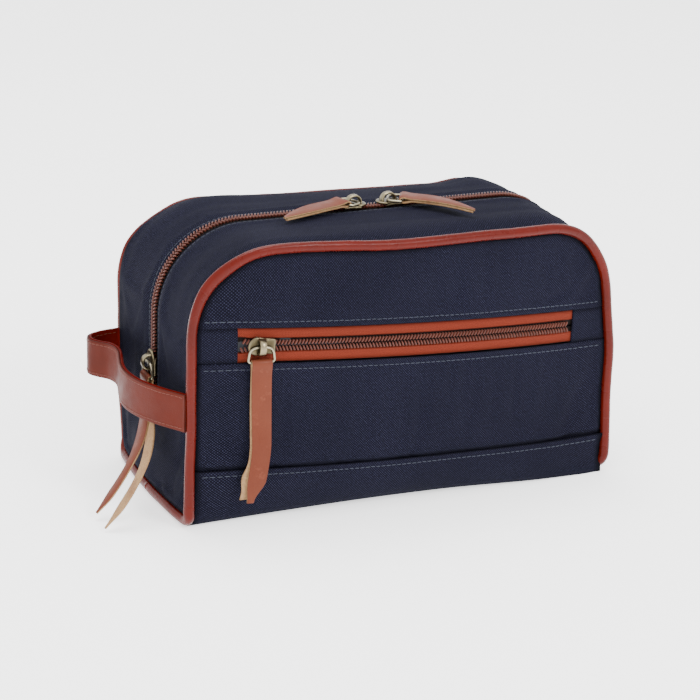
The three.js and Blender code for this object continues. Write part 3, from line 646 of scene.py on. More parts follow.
LEFT_PUSH = 5.4  # the left end stands out this far at its corners, above the foot
LEFT_FOOT_PUSH = 8.6  # and this far at the middle of its foot,
LEFT_FOOT_SKEW = 1.0  # a little more at the front,
LEFT_FOOT_ROUND = 3.9  # and less at both corners of the foot
RIGHT_PUSH = 3.6
RIGHT_BASE_PUSH = 1.2
RIGHT_FOOT_PUSH = 4.2
FOOT_SPREAD = 4.0  # the front's foot stands out towards the right end
BACK_LEAN = 6.0
BACK_SAG = 1.6
BACK_LEFT_LIFT = 1.4
FRONT_LIFT = 1.8
FRONT_LEFT_LIFT = 3.0
RIGHT_CORNER_DRAW = (0.4, 0.9, 8.4)  # overall, at the front and along the gusset
LEFT_CORNER_PUSH = (2.2, 0.8)  # at the front and at the back


def polar(x, z, end):
    """Distance from a top corner's centre and angle from straight up, in degrees."""
    over, up = np.clip(end * x - ARCH_X, 0, None), z - ARCH_Z
    return np.hypot(over, up), np.degrees(np.arctan2(over, np.maximum(up, 1e-6)))


def corner_push(points, end, depth, first, last):
    """Moves a top corner out along its radius, between a first and a last angle in degrees."""
    x, _, z = points.T
    reach, angle = polar(x, z, end)
    bell = smooth((angle - first) / 34) * smooth((last - angle) / 42)
    push = depth * bell * ramp(reach, 20, 20)
    turn = np.radians(angle)
    return np.stack([end * push * np.sin(turn), np.zeros_like(push), push * np.cos(turn)], 1)


def stand(points):
    """The filled bag's stance: full ends, a raised front left corner, a back that leans at its top."""
    x, y, z = points.T
    t = np.clip(y / HALF_DEPTH, -1.15, 1.15)
    low = ramp(-z, -55, 50)  # 1 at the foot, 0 above the seam
    tall = ramp(z, 55, 95)  # 0 at the foot, 1 along the top
    behind = ramp(y, 8, 46)
    # the two ends are full, above the foot and at it
    upper_push = LEFT_PUSH * t**2 * (1 + 0.1 * t)
    lower_push = LEFT_FOOT_PUSH - LEFT_FOOT_SKEW * t - LEFT_FOOT_ROUND * t**2
    dx = -ramp(-x, 104, 22) * (upper_push * (1 - low) + lower_push * low)
    waist = 1 - ramp(z, 72, 45)
    upper_push = RIGHT_BASE_PUSH + RIGHT_PUSH * ramp(-y, -15, 50)
    dx = dx + ramp(x, 100, 26) * (upper_push * waist * (1 - low) + RIGHT_FOOT_PUSH * low)
    # the back leans in and sags along its top, and the front's foot stands out at the right
    dy = -BACK_LEAN * tall * behind * ramp(x, -70, 150)
    dy = dy - FOOT_SPREAD * low * ramp(-y, 20, 40) * ramp(x, 20, 80)
    dz = -BACK_SAG * tall * behind * ramp(x, -100, 90) * (1 - 1.8 * ramp(x, 66, 26))
    dz = dz + BACK_LEFT_LIFT * tall * behind * ramp(-x, 45, 40) * ramp(z - 0.2 * x, HEIGHT - 20, 20)
    # the front's top edge is raised, most of all at the left
    front = np.clip(-y / 64, 0, 1.1) ** 2
    lift = FRONT_LIFT + FRONT_LEFT_LIFT * ramp(-x, 10, 70) - ramp(x, 30, 60)
    dz = dz + lift * front * ramp(z, 118, 38)
    moved = points + np.stack([dx, dy, dz], 1)
    # the right top corner is drawn in, most of all along the gusset, and the left one is full
    overall, at_front, along_gusset = RIGHT_CORNER_DRAW
    inner = ramp(-y, -48, 30) * ramp(y, -60, 26)
    drawn_in = overall + at_front * ramp(-y, 30, 25) + along_gusset * inner
    moved += corner_push(points, 1, -drawn_in * ramp(-y, -52, 30), 22, 112)
    at_front, at_back = LEFT_CORNER_PUSH
    pushed = at_front * ramp(-y, 15, 40) + at_back * ramp(y, 5, 40)
    moved += corner_push(points, -1, pushed, 0, 92)
    return moved


soft_pieces = []


def soft(made, slot, stands_for=(), lip=None, always_up=False):
    """Notes a piece of the shell; later it is given the bag's stance, and a piece without a lip is joined to
    the shell's body.
    """
    soft_pieces.append((made, slot, stands_for, lip, always_up))


# ---------------------------------------------------------------- the parts that open

LIP_FULL = 18.0  # the lips lean fully within this distance of the middle
LIP_STILL = 75.0  # and not at all beyond this one
LIP_FOOT = 119.0
LIP_HEAD = 151.0


def open_with_lip(made, side_name, side, always_up=False):
    """Bakes the fabric's placement into its points and works out how far each point would lean with a lip,
    most in the middle and not at the ends; the lean is not applied and the fabric is not joined to a body.
    """
    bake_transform(made)
    points = coords(made) / MM
    lean = smooth((LIP_STILL - np.abs(points[:, 0])) / (LIP_STILL - LIP_FULL))
    if not always_up:
        lean = lean * smooth((points[:, 2] - LIP_FOOT) / (LIP_HEAD - LIP_FOOT))
    return made


# ---------------------------------------------------------------- cloth


FIRST_DENT = 0.35  # the sheet starts this far inside its sewn surface
DENT_SIZE = 28.0
MOST_SLIDE = 0.8  # no point may creep further than this along the sheet


def settle(made, pinned, swell, seed, inward=2.2, outward=0.5, frames=28):
    """Lets a sheet that is cut a little too large buckle between its sewn edges."""
    start = coords(made)
    normals = np.array([v.normal[:] for v in made.data.vertices])
    push = np.array([noise.noise(Vector(p / (DENT_SIZE * MM)) + Vector((seed, 0, 0))) for p in start])
    put_coords(made, start - normals * (FIRST_DENT * MM * (0.6 + push) * ~pinned)[:, None])
    group = made.vertex_groups.new(name="sewn")
    group.add([int(i) for i in np.flatnonzero(pinned)], 1.0, "REPLACE")
    cloth = made.modifiers.new("cloth", "CLOTH")
    settings = cloth.settings
    settings.quality = 6
    settings.mass = 0.25
    settings.tension_stiffness = 30
    settings.compression_stiffness = 30
    settings.shear_stiffness = 12
    settings.bending_stiffness = 0.6
    settings.vertex_group_mass = "sewn"
    settings.pin_stiffness = 1.0
    settings.shrink_min = -swell
    settings.effector_weights.gravity = 0.35
    cloth.point_cache.frame_start = 1
    cloth.point_cache.frame_end = frames
    scene = bpy.context.scene
    for number in range(1, frames + 1):
        scene.frame_set(number)
    graph = bpy.context.evaluated_depsgraph_get()
    moved = made.evaluated_get(graph).data
    flat = np.zeros(len(moved.vertices) * 3)
    moved.vertices.foreach_get("co", flat)
    made.modifiers.clear()
    made.vertex_groups.clear()
    scene.frame_set(1)
    shift = flat.reshape(-1, 3) - start
    depth = np.einsum("ij,ij->i", shift, normals)
    slide = shift - depth[:, None] * normals
    reach = np.linalg.norm(slide, axis=1)
    slide *= np.minimum(1.0, MOST_SLIDE * MM / np.maximum(reach, 1e-9))[:, None]
    held = np.where(depth > 0, outward * MM * np.tanh(depth / (outward * MM)),
                    inward * MM * np.tanh(depth / (inward * MM)))
    put_coords(made, start + slide + held[:, None] * normals)
    return made


HEM_MARGIN = 1.8  # the flat cloth starts this far from a hemmed edge
CREASE_DEPTH = 0.35  # a row of stitches sinks into the cloth
SIDE_DIP = 1.5
RIPPLE = 0.35


def hem(direction, fold=FABRIC):
    """Rows of (step past the edge line, depth) that roll a cloth edge under itself."""
    rows = [(-1.3, 0.0), (-0.6, 0.1), (-0.18, 0.42), (0.0, 0.85), (-0.16, 1.25), (-0.9, fold + 0.1),
            (-3.0, fold + 0.15)]
    return rows if direction > 0 else rows[::-1]


def grid_xs(low, high, step):
    return np.linspace(low, high, max(int(round((high - low) / step)), 2) + 1)


def beside_piping(x, z, width=2.6):
    """1 where a panel meets the piping, 0 from a little way in: painted shade along the seam."""
    over, up = np.abs(x) - ARCH_X, z - ARCH_Z
    round_gap = PANEL_CORNER - np.hypot(over, up)
    straight_gap = np.minimum(PANEL_SIDE - np.abs(x), ARCH_Z + PANEL_CORNER - z)
    gap = np.where((over > 0) & (up > 0), round_gap, straight_gap)
    return 0.85 * smooth(1 - gap / width)


# painted shade along a sewn or folded line, strongest on it
def beside_line(z, line, width=1.1):
    return 0.8 * np.exp(-(((z - line) / width) ** 2))


def sewn_down(points, first=2, last=2):
    """True for a grid's first and last rows, and for two columns at both ends."""
    held = np.zeros(points.shape[:2], bool)
    held[:, :2] = held[:, -2:] = True
    held[:first] = held[-last:] = True
    return held


def plane_uv(points, first, second):
    """Texture places, in metres, from two of a grid's three coordinates."""
    return points[:, :, [first, second]] * MM


def edge_dip(gap):
    """How far the cloth sinks at a gap from its hidden edge: 1 at the edge, 0 from EDGE_DIP on."""
    return smooth(1 - gap / EDGE_DIP) ** EDGE_POWER


def wall_sheet(name, side, xs, low, high, hem_low=False, hem_high=False, dip_low=0.0, dip_high=0.0,
               crease=None, seed=1.0, extra_rows=30):
    """A front or back panel. low and high give its edge lines, crease its line of stitching."""
    bottom, top = low(xs), high(xs)
    rows = []
    if hem_low:
        rows += [(-step, depth, 0) for step, depth in hem(-1)]
    rows += [(0.0, 0.0, s) for s in np.linspace(0, 1, extra_rows)]
    if hem_high:
        rows += [(step, depth, 1) for step, depth in hem(1)]
    points = np.zeros((len(rows), len(xs), 3))
    margin = np.minimum(HEM_MARGIN, 0.4 * (top - bottom))
    first = bottom + (margin if hem_low else 0)
    last = top - (margin if hem_high else 0)
    for i, (step, depth, share) in enumerate(rows):
        if depth or step:
            z = (top if share else bottom) + step
        else:
            z = first + (last - first) * share
        sunk = np.full(len(xs), depth)
        if crease:
            sunk = sunk + CREASE_DEPTH * np.exp(-(((z - crease(xs)) / 1.3) ** 2))
        if dip_high:
            sunk = sunk + dip_high * edge_dip(top - z)
        if dip_low:
            sunk = sunk + dip_low * smooth(1 - (z - bottom) / 10.0) ** 1.2
        sunk = sunk + SIDE_DIP * edge_dip(PANEL_REACH - np.abs(xs))
        inner_share = smooth(np.minimum((z - bottom) / 10, (top - z) / 10))
        broad = wrinkles(xs, z, 60, 34, seed) * 0.9
        slanting = wrinkles(xs + z * 0.6, z, 22, 60, seed + 20, 1) * 0.35
        sunk = sunk + RIPPLE * inner_share * (0.7 + (broad + slanting) * 1.6)
        points[i] = np.stack([xs, wall_y(side, xs, sunk), z], 1)
    # painted shade along the base seam and beside the piping, carried by the rim attribute
    seam = beside_line(points[:, :, 2], seam_line[side](xs)[None] + 0.6, 1.4)
    shade = np.maximum(beside_piping(points[:, :, 0], points[:, :, 2]), seam)
    made = sheet(name, points, plane_uv(points, 0, 2), CANVAS, (0, side, 0), shade)
    pinned = sewn_down(points, 8 if hem_low else 2, 8 if hem_high else 2)
    if crease:
        pinned |= np.abs(points[:, :, 2] - crease(xs)[None]) < 1.6
    return made, pinned


PANEL_REACH = PANEL_SIDE + PANEL_EDGE
seam_line = {side: sewn_line(side, SEAM_Z, SEAM_SLOPE) for _, side in SIDES}
window_low = sewn_line(-1, WINDOW_LOW, WINDOW_SLOPE)
window_high = sewn_line(-1, WINDOW_HIGH, WINDOW_SLOPE)
upper_stitch = sewn_line(-1, WINDOW_HIGH + STITCH_INSET, WINDOW_SLOPE)
lower_stitch = sewn_line(-1, WINDOW_LOW - STITCH_INSET, WINDOW_SLOPE)
arch_top = lambda x: panel_top(x, PANEL_EDGE)



def finish_cloth(made, pinned, seed, swell=0.016, inward=2.0, outward=0.45):
    settle(made, pinned.ravel(), swell, seed, inward, outward)
    return thicken(made, FABRIC * 0.75)


# the lower front, which is the outside of the pocket
xs = grid_xs(-PANEL_REACH, PANEL_REACH, 2.4)
pocket_front, pinned = wall_sheet(
    "pocket_front", -1, xs, lambda x: seam_line[-1](x) - 5, window_low, hem_high=True, dip_low=2.6,
    crease=lower_stitch, seed=3.0, extra_rows=32)
finish_cloth(pocket_front, pinned, 3.0)
soft(pocket_front, "navy_canvas", ["pocket_panel"])

# the two short pieces that close the ends of the pocket's window
PATCH_ROLL = [(3.0, FABRIC), (0.9, FABRIC - 0.1), (0.16, 1.2), (0.0, 0.8), (0.18, 0.35), (0.6, 0.08)]
PATCH_OVERLAP = 3.0  # it goes this far under the panels above and below
PATCH_DEPTH = 0.75
PATCH_UNDER = 1.1  # and sinks by this much where it does
for end_name, end in ENDS:
    inner_x = abs(WINDOW_LEFT if end < 0 else WINDOW_RIGHT)
    span = grid_xs(0, PANEL_REACH - inner_x, 1.6)
    steps = [inner_x + step for step, _ in PATCH_ROLL] + [inner_x + step for step in span if step > 1.2]
    depths = [depth for _, depth in PATCH_ROLL] + [0.0] * (len(steps) - len(PATCH_ROLL))
    xs = np.array(steps) * end
    low_z = window_low(xs) - PATCH_OVERLAP
    high_z = np.minimum(window_high(xs) + PATCH_OVERLAP, panel_top(xs, PANEL_EDGE))
    z = low_z[:, None] + (high_z - low_z)[:, None] * np.linspace(0, 1, 14)[None]
    xs, low_line, high_line = xs[:, None], window_low(xs)[:, None], window_high(xs)[:, None]
    sunk = np.array(depths)[:, None] + PATCH_DEPTH + 1.2 * smooth((np.abs(xs) - (PANEL_REACH - 6)) / 6)
    sunk = sunk + 0.2 * wrinkles(xs, z, 20, 14, 5.0)
    sunk = sunk + PATCH_UNDER * smooth((np.maximum(z - high_line, low_line - z) + 1.0) / 1.5)
    points = np.stack([np.broadcast_to(xs, z.shape), wall_y(-1, xs, sunk), z], 2)
    # painted shade along the window's folded edges and beside the piping
    shade = np.maximum(beside_line(z, high_line, 1.3), beside_line(z, low_line, 1.3))
    shade = np.maximum(shade, beside_piping(points[:, :, 0], z))
    patch = sheet(f"window_patch_{end_name}", points, plane_uv(points, 0, 2), CANVAS, (0, -1, 0), shade)
    thicken(patch, FABRIC * 0.6)
    soft(patch, "navy_canvas", [f"window_end_{end_name}"])

# the upper front; it is noted with the front lip, but nothing here makes it lean
tip_x = PANEL_REACH - 0.9
xs = grid_xs(-tip_x, tip_x, 2.4)
front_upper, pinned = wall_sheet(
    "front_upper", -1, xs, window_high, lambda x: np.maximum(arch_top(x), window_high(x) + 1.6),
    hem_low=True, dip_high=1.5, crease=upper_stitch, seed=8.0, extra_rows=26)
finish_cloth(front_upper, pinned, 8.0, swell=0.012, inward=1.5)
soft(front_upper, "navy_canvas", ["front_upper_left", "front_upper_right", "front_lip_panel"], ("front", -1))

xs = grid_xs(-PANEL_REACH, PANEL_REACH, 2.6)
back_wall, pinned = wall_sheet(
    "back_wall", 1, xs, lambda x: seam_line[1](x) - 5, arch_top, dip_low=2.6, dip_high=1.5, seed=12.0,
    extra_rows=50)
finish_cloth(back_wall, pinned, 12.0, swell=0.018, inward=2.8)
soft(back_wall, "navy_canvas", ["back_panel", "back_upper_left", "back_upper_right", "back_lip_panel"],
     ("back", 1))

# ---------------------------------------------------------------- gusset beside the zip


def gusset_y(side, run):
    """Distance of the gusset's outer edge from the middle of the zip."""
    x, _ = arch(run, 0)
    return PIPING_SEAM_Y - 1.4 + bow(np.clip(np.abs(x), 0, END_X), CROWN[side])


def gusset_point(side, run, y, sunk):
    x, z = arch(run, soft_bow(run, y) - sunk)
    return np.stack([x, side * y, z], -1)


# painted shade beside the piping: its strength and width
SEAM_SHADE = 0.85
SEAM_SHADE_WIDTH = 2.6
PIPING_DIP = 1.6  # the gusset and the end panels sink by this much at the piping
GUSSET_SEED = {-1: 30.0, 1: 40.0}

for side_name, side in SIDES:
    runs = grid_xs(-ZIP_RUN - 3, ZIP_RUN + 3, 2.6)
    outer = gusset_y(side, runs)
    folded = hem(-1)
    shares = np.linspace(0.035, 1, 24)
    points = np.zeros((len(folded) + len(shares), len(runs), 3))
    uv = np.zeros((*points.shape[:2], 2))
    shade = np.zeros(points.shape[:2])
    for i in range(len(points)):
        if i < len(folded):
            step, depth = folded[i]
            y, sunk = np.full(len(runs), ZIP_EDGE - step), np.full(len(runs), depth)
            # painted shade where the hem rolls under
            shade[i] = 0.9 * ramp(sunk, 0.3, 0.6)
        else:
            y = ZIP_EDGE + (outer - ZIP_EDGE) * shares[i - len(folded)]
            inner_share = smooth(np.minimum((y - ZIP_EDGE - 4) / 8, (outer - y) / 8))
            seed = GUSSET_SEED[side]
            folds = wrinkles(runs, y, 85, 13, seed) + wrinkles(runs, y, 30, 40, seed + 9, 1) * 0.4
            sunk = inner_share * (0.25 + folds * 0.6)
            sunk = sunk + 0.3 * np.exp(-(((y - ZIP_EDGE - GUSSET_STITCH_INSET) / 1.2) ** 2))
            sunk = sunk + PIPING_DIP * edge_dip(outer - y)
            # painted shade beside the piping seam
            shade[i] = SEAM_SHADE * smooth(1 - (outer - 1.2 - y) / SEAM_SHADE_WIDTH)
        points[i] = gusset_point(side, runs, y, np.maximum(sunk, -0.4))
        uv[i] = np.stack([runs, y], 1) * MM
    made = sheet(f"gusset_{side_name}", points, uv, CANVAS, (0, 0, 1), shade)
    finish_cloth(made, sewn_down(points, first=10), 30.0 + side, swell=0.01, inward=1.3, outward=0.5)
    soft(made, "navy_canvas", [f"{side_name}_gusset_{part}" for part in ("left", "right", "lip")],
         (side_name, side), always_up=True)

# ---------------------------------------------------------------- end panels

END_LOW = 6.0
END_SEED = {-1: 50.0, 1: 60.0}


def end_panel_half(z):
    """Half the width of an end panel, which is round beside the bends of the piping."""
    centre = PIPING_FLOOR_Z + PIPING_BEND
    inner = PIPING_BEND - 1.6
    below = np.clip(centre - z, 0, inner)
    return PIPING_SEAM_Y - PIPING_BEND + np.sqrt(inner**2 - below**2)


def end_panel_x(y, z, sunk=0.0):
    fade = np.clip((z - 8.5) / 25, 0, 1)
    return END_X + gusset_bow(y) * fade - 1.8 * smooth((12 - z) / 6) - sunk


for end_name, end in ENDS:
    rows = [(z, 0.0) for z in np.linspace(END_LOW, ZIP_END_Z - 1.5, 30)]
    rows += [(ZIP_END_Z + step, depth) for step, depth in hem(1)]
    shares = np.linspace(-1, 1, 54)
    points = np.zeros((len(rows), len(shares), 3))
    shade = np.zeros(points.shape[:2])
    for i, (height, depth) in enumerate(rows):
        half = end_panel_half(height)
        y, z = half * shares, np.full(len(shares), height)
        gap = half - np.abs(y)
        inner_share = smooth(np.minimum(gap / 9, min((height - END_LOW) / 12, (ZIP_END_Z - height) / 8)))
        seed = END_SEED[end]
        folds = wrinkles(y + z * 0.35, z, 17, 60, seed) * 1.1 + wrinkles(y, z, 34, 30, seed + 5) * 0.7
        sunk = depth + 0.4 - 0.7 * ramp(z, 50, 12) + inner_share * (1.0 + 1.5 * folds)
        sunk = sunk + PIPING_DIP * edge_dip(gap)
        points[i] = np.stack([end * end_panel_x(y, z, sunk), y, z], 1)
        # painted shade beside the piping and along the panel's foot
        shade[i] = SEAM_SHADE * smooth(1 - np.minimum(gap - 1.2, z - END_LOW - 1.0) / SEAM_SHADE_WIDTH)
    made = sheet(f"end_cloth_{end_name}", points, plane_uv(points, 1, 2), CANVAS, (end, 0, 0), shade)
    finish_cloth(made, sewn_down(points, last=9), 50.0 + end, swell=0.02, inward=2.6, outward=0.6)
    soft(made, "navy_canvas", [f"end_panel_{end_name}"])

# ---------------------------------------------------------------- base


BASE_FLAT = 52.5  # half the depth of the part that lies on the floor, at the ends
BASE_NARROWS = 9.5  # the flat part is narrower at mid length
FRONT_SPREAD = 10.0  # and wider again at the front towards the right
BEND_POWER = 0.76  # below 1 makes the bend squarer
PANEL_OVERLAP = 0.75  # the base's folded edge lies this far outside the panels


def base_ring(x, side, turn):
    """Points of the base's bend: turn 0 is the sewn edge, pi/2 is on the floor."""
    rise = seam_line[side](x)
    reach = BASE_FLAT - BASE_NARROWS * (bow(x, CROWN[side]) / CROWN[side]) ** 1.2
    if side < 0:
        spread = smooth((x + 40) / 130) * (1 - 0.15 * ramp(x, 114, 13))
        reach = reach + FRONT_SPREAD * spread
    flat = side * reach
    wall = wall_y(side, x)
    across, down = math.cos(turn) ** BEND_POWER, math.sin(turn) ** BEND_POWER
    return np.stack([x, flat + (wall - flat) * across, rise - rise * down], 1)


def base_half(side):
    """Rows of points from the folded edge down to the floor."""
    seam = seam_line[side](xs)
    rows = []
    for step, depth in hem(1)[::-1]:
        rows.append(np.stack([xs, wall_y(side, xs, depth - PANEL_OVERLAP), seam + step], 1))
    for turn in np.linspace(0, math.pi / 2, 26)[3:]:
        ring = base_ring(xs, side, turn)
        z = ring[:, 2]
        overlap = -PANEL_OVERLAP * ramp(z, 14, 14)
        loose = ramp(z, 1.5, 8) * smooth((seam - z) / 6)
        wave = 0.5 + wrinkles(xs, z, 45, 22, 70.0 + side) * 1.4
        stitch = CREASE_DEPTH * np.exp(-(((z - seam + BASE_STITCH_INSET) / 1.3) ** 2))
        side_dip = 1.3 * smooth((np.abs(xs) - (END_X - 10.4)) / 7) ** EDGE_POWER * ramp(z, 2, 6)
        ring[:, 1] -= side * (overlap + 0.7 * loose * wave + stitch + side_dip)
        rows.append(ring)
    return rows


xs = grid_xs(-END_X + 3.4, END_X - 3.4, 2.6)
middle = [np.stack([xs, np.full_like(xs, y), np.zeros_like(xs)], 1) for y in np.linspace(-38, 38, 9)]
points = np.array(base_half(-1) + middle + base_half(1)[::-1])
reach = reach_along(points[:, len(xs) // 2])
uv = np.stack(np.meshgrid(xs, reach), 2)
points[:, :, 2] = np.maximum(points[:, :, 2], 0.05)
x, y, z = np.moveaxis(points, 2, 0)
# painted shade beside the piping at the ends and at the base's folded edge along the seam
sides_shade = SEAM_SHADE * smooth(1 - (END_X - 5.0 - np.abs(x)) / SEAM_SHADE_WIDTH)
seam_z = np.where(y < 0, seam_line[-1](x), seam_line[1](x))
shade = np.maximum(sides_shade, 0.7 * smooth((z - seam_z + 0.8) / 0.8))
base_cloth = sheet("base_cloth", points, uv * MM, CANVAS, (0, 0, -1), shade)
thicken(base_cloth, FABRIC * 0.7)
soft(base_cloth, "navy_canvas", ["base_panel"])

# ---------------------------------------------------------------- piping


PIPING_STEP = 2.2


def piping_path(side):
    """From under the left end, up its side, over the top, down the right side and under."""
    tuck = TUCK[side]
    radius = CORNER - PIPING_INSET - tuck
    post_x, floor_x = END_X - PIPING_INSET - tuck, END_X - PIPING_FLOOR_INSET
    bend_y, bend_z = PIPING_SEAM_Y - PIPING_BEND, PIPING_FLOOR_Z + PIPING_BEND
    half = [(floor_x, y, PIPING_FLOOR_Z) for y in np.linspace(0, bend_y, 14)]
    for turn in np.linspace(0, math.pi / 2, 12)[1:]:
        x = floor_x + (post_x - floor_x) * (1 - math.cos(turn))
        half.append((x, bend_y + PIPING_BEND * math.sin(turn), bend_z - PIPING_BEND * math.cos(turn)))
    above = [(post_x, z) for z in np.linspace(bend_z, ARCH_Z, 30)[1:]]
    for turn in np.linspace(0, math.pi / 2, 22)[1:]:
        above.append((ARCH_X + radius * math.cos(turn), ARCH_Z + radius * math.sin(turn)))
    above += [(x, HEIGHT - PIPING_INSET - tuck) for x in np.linspace(ARCH_X, 0, 26)[1:]]
    half += [(x, PIPING_SEAM_Y + bow(x, CROWN[side]), z) for x, z in above]
    left, right = (np.array(half) * np.array([end, side, 1]) for end in (-1, 1))
    return resample(np.concatenate([left, right[::-1][1:]]), PIPING_STEP)


for side_name, side in SIDES:
    path = piping_path(side)
    reach = np.arange(len(path)) * PIPING_STEP
    wobble = np.array([[noise.noise(Vector((r / 26, k * 9.1, side))) for k in range(3)] for r in reach])
    path = path + wobble * np.array([0.35, 0.35, 0.3])
    swell = np.array([noise.noise(Vector((r / 7, 3.3, side * 2.0))) for r in reach])
    middle_z = HEIGHT / 2
    outward = np.stack([path[:, 0] / END_X, np.zeros(len(path)), (path[:, 2] - middle_z) / middle_z], 1)
    points, faces = tube(path, PIPING_RADIUS * (1 + 0.035 * swell), up=outward, sides=18)
    made = add_mesh(f"piping_{side_name}", points, faces, PIPING)
    own = "piping_left" if side < 0 else "piping_right"
    soft(made, "piping_leather", [f"{side_name}_lip_piping", own], (side_name, side))

# ---------------------------------------------------------------- zips

TOOTH_PITCH = 2.0
TOOTH = pod(3.2, 1.25, 2.2, rings=6, sides=8)
TOOTH_LIFT = 0.9


TOOTH_SIDE = 1.75  # the middle of a tooth lies this far from the zip's middle
TOOTH_SLANT = 0.5
COIL_EDGE = 0.5  # where the woven tape of a zip half begins


def tooth_rows(path, across, out, first=0.0):
    """Turns of one coil half: short rounded bars across the zip, a pitch apart."""
    reach = reach_along(path)
    at = np.arange(0.6 + first * TOOTH_PITCH, reach[-1] - 0.4, TOOTH_PITCH)
    centre, side, up = (at_reach(at, reach, values) for values in (path, across, out))
    ahead = at_reach(at + 0.4, reach, path) - centre
    lean = side + unit(ahead) * TOOTH_SLANT
    return copies(TOOTH, centre + side * TOOTH_SIDE + up * TOOTH_LIFT, lean, up)


def chain_base(path, across, out, far, cord):
    """The woven tape of one zip half: a thin strip with a raised, sewn-down cord by the coil."""
    near = COIL_EDGE
    profile = [(near, -1.0), (near + 0.25, -0.8), (near + 2.9, -0.8), (near + 3.4, -0.75), *cord,
               (far, cord[-1][1])]
    points = np.array([path + across * y + out * z for y, z in profile])
    reach = reach_along(path)
    uv = np.array([np.stack([reach, np.full_like(reach, y)], 1) for y, _ in profile]) * MM
    # painted shade: marks the tape under and beside the coil to be painted near black
    dark = np.array([np.full_like(reach, 1.0 if y < near + 3.2 else 0.0) for y, _ in profile])
    return points, uv, dark


def arch_line(side):
    """The main zip's line, with its directions across and outward."""
    runs = grid_xs(-ZIP_RUN, ZIP_RUN, 2.0)
    x, z = arch(runs, GUSSET_CROWN - COIL_DEPTH)
    outer_x, outer_z = arch(runs, GUSSET_CROWN - COIL_DEPTH + 1)
    path = np.stack([x, np.zeros_like(x), z], 1)
    out = np.stack([outer_x - x, np.zeros_like(x), outer_z - z], 1)
    return path, np.broadcast_to(np.array([0.0, side, 0.0]), path.shape), out


def pocket_line(direction):
    """The pocket zip's line, with its directions across and outward."""
    xs = grid_xs(WINDOW_LEFT - 2.5, WINDOW_RIGHT + 2.5, 2.0)
    z = sewn_line(-1, (WINDOW_LOW + WINDOW_HIGH) / 2, WINDOW_SLOPE)(xs)
    path = np.stack([xs, wall_y(-1, xs, COIL_DEPTH), z], 1)
    slope = bow(xs + 0.5, CROWN[-1]) - bow(xs - 0.5, CROWN[-1])
    out = unit(np.stack([-slope, -np.ones_like(xs), np.zeros_like(xs)], 1))
    across = np.cross(out, unit(np.gradient(path, axis=0)))
    return path, across * np.sign(across[0, 2]) * direction, out


MAIN_CORD = [(4.3, -1.0), (5.0, -1.75)]
for side_name, side in SIDES:
    path, across, out = arch_line(side)
    points, uv, dark = chain_base(path, across, out, TAPE_HALF, MAIN_CORD)
    tape = sheet(f"main_tape_{side_name}", points, uv, TAPE, (0, 0, 1), dark)
    thicken(tape, 0.7)
    soft(tape, "zip_tape", [f"{side_name}_zip_{part}" for part in ("left", "right", "lip")],
         (side_name, side), always_up=True)
    points, faces = tooth_rows(path, across, out, 0.5 if side < 0 else 0.0)
    coil = add_mesh(f"main_coil_{side_name}", points, faces, COIL)
    soft(coil, "zip_coil", (), (side_name, side), always_up=True)

# the tape rises in a sewn-down cord along the coil
POCKET_CORD = [(4.1, -0.1), (4.5, 0.15), (5.0, 0.1), (5.4, -0.15), (6.2, 0.0)]
for edge_name, direction in (("upper", 1), ("lower", -1)):
    path, across, out = pocket_line(direction)
    # the halves part a little to the left of the slider, where the zip is open
    part = 0.9 * smooth((WINDOW_LEFT + 7 - path[:, 0]) / 5)
    path = path + across * part[:, None]
    points, uv, dark = chain_base(path, across, out, POCKET_TAPE_HALF, POCKET_CORD)
    tape = sheet(f"pocket_strip_{edge_name}", points, uv, TAPE, (0, -1, 0), dark)
    thicken(tape, 0.7)
    soft(tape, "zip_tape", [f"pocket_tape_{edge_name}"])
    seen = (path[:, 0] > WINDOW_LEFT + 1.0) & (path[:, 0] < WINDOW_RIGHT - 1.5)
    points, faces = tooth_rows(path[seen], across[seen], out[seen], 0.5 if direction > 0 else 0.0)
    coil = add_mesh(f"pocket_teeth_{edge_name}", points, faces, COIL)
    soft(coil, "zip_coil", [f"pocket_coil_{edge_name}"])

# the folded tab over the zip's end on the right: rings of (height, size)
TAB_RINGS = [(0.0, 1.0), (0.9, 1.0), (1.35, 0.98), (1.6, 0.93), (1.75, 0.8), (1.85, 0.5), (1.88, 0.04)]
TAB_HALF = (8.0, 4.5)
TAB_POWER = 0.45  # below 1 makes the outline squarer
tab_low, tab_high = cad_box("zip_end_tab")
turns = np.linspace(0, 2 * math.pi, 40, endpoint=False)
c, s = np.cos(turns), np.sin(turns)
outline_y = TAB_HALF[0] * np.abs(c) ** TAB_POWER * np.sign(c)
outline_z = TAB_HALF[1] * np.abs(s) ** TAB_POWER * np.sign(s)
tab_z = (tab_low[2] + tab_high[2]) / 2
points = np.array([np.stack([np.full(len(turns), tab_low[0] - 0.2 + rise), size * outline_y,
                             tab_z + size * outline_z], 1) for rise, size in TAB_RINGS])
faces = grid_faces(len(points), len(turns), wrap_columns=True) + end_caps(len(points), len(turns))[1:]
tab = add_mesh("zip_tab", points, faces, CANVAS, plane_uv(points, 1, 2))
soft(tab, "navy_canvas", ["zip_end_tab"])

# ---------------------------------------------------------------- lining

tub_low, tub_high = cad_box("lining_tub")
TUB_INSET = 0.5
TUB_CORNER = 9.0
TUB_STEP = 3.4
FOLD_DEPTH = 1.6
half_x, half_y = tub_high[0] - TUB_INSET, tub_high[1] - TUB_INSET


def tub_ring(z):
    ring = []
    for cx, cy, start in ((1, -1, -90), (1, 1, 0), (-1, 1, 90), (-1, -1, 180)):
        for turn in np.radians(np.linspace(start, start + 90, 6)):
            ring.append((cx * (half_x - TUB_CORNER) + TUB_CORNER * math.cos(turn),
                         cy * (half_y - TUB_CORNER) + TUB_CORNER * math.sin(turn), z))
    return resample(np.array(ring + [ring[0]]), TUB_STEP)[:-1]


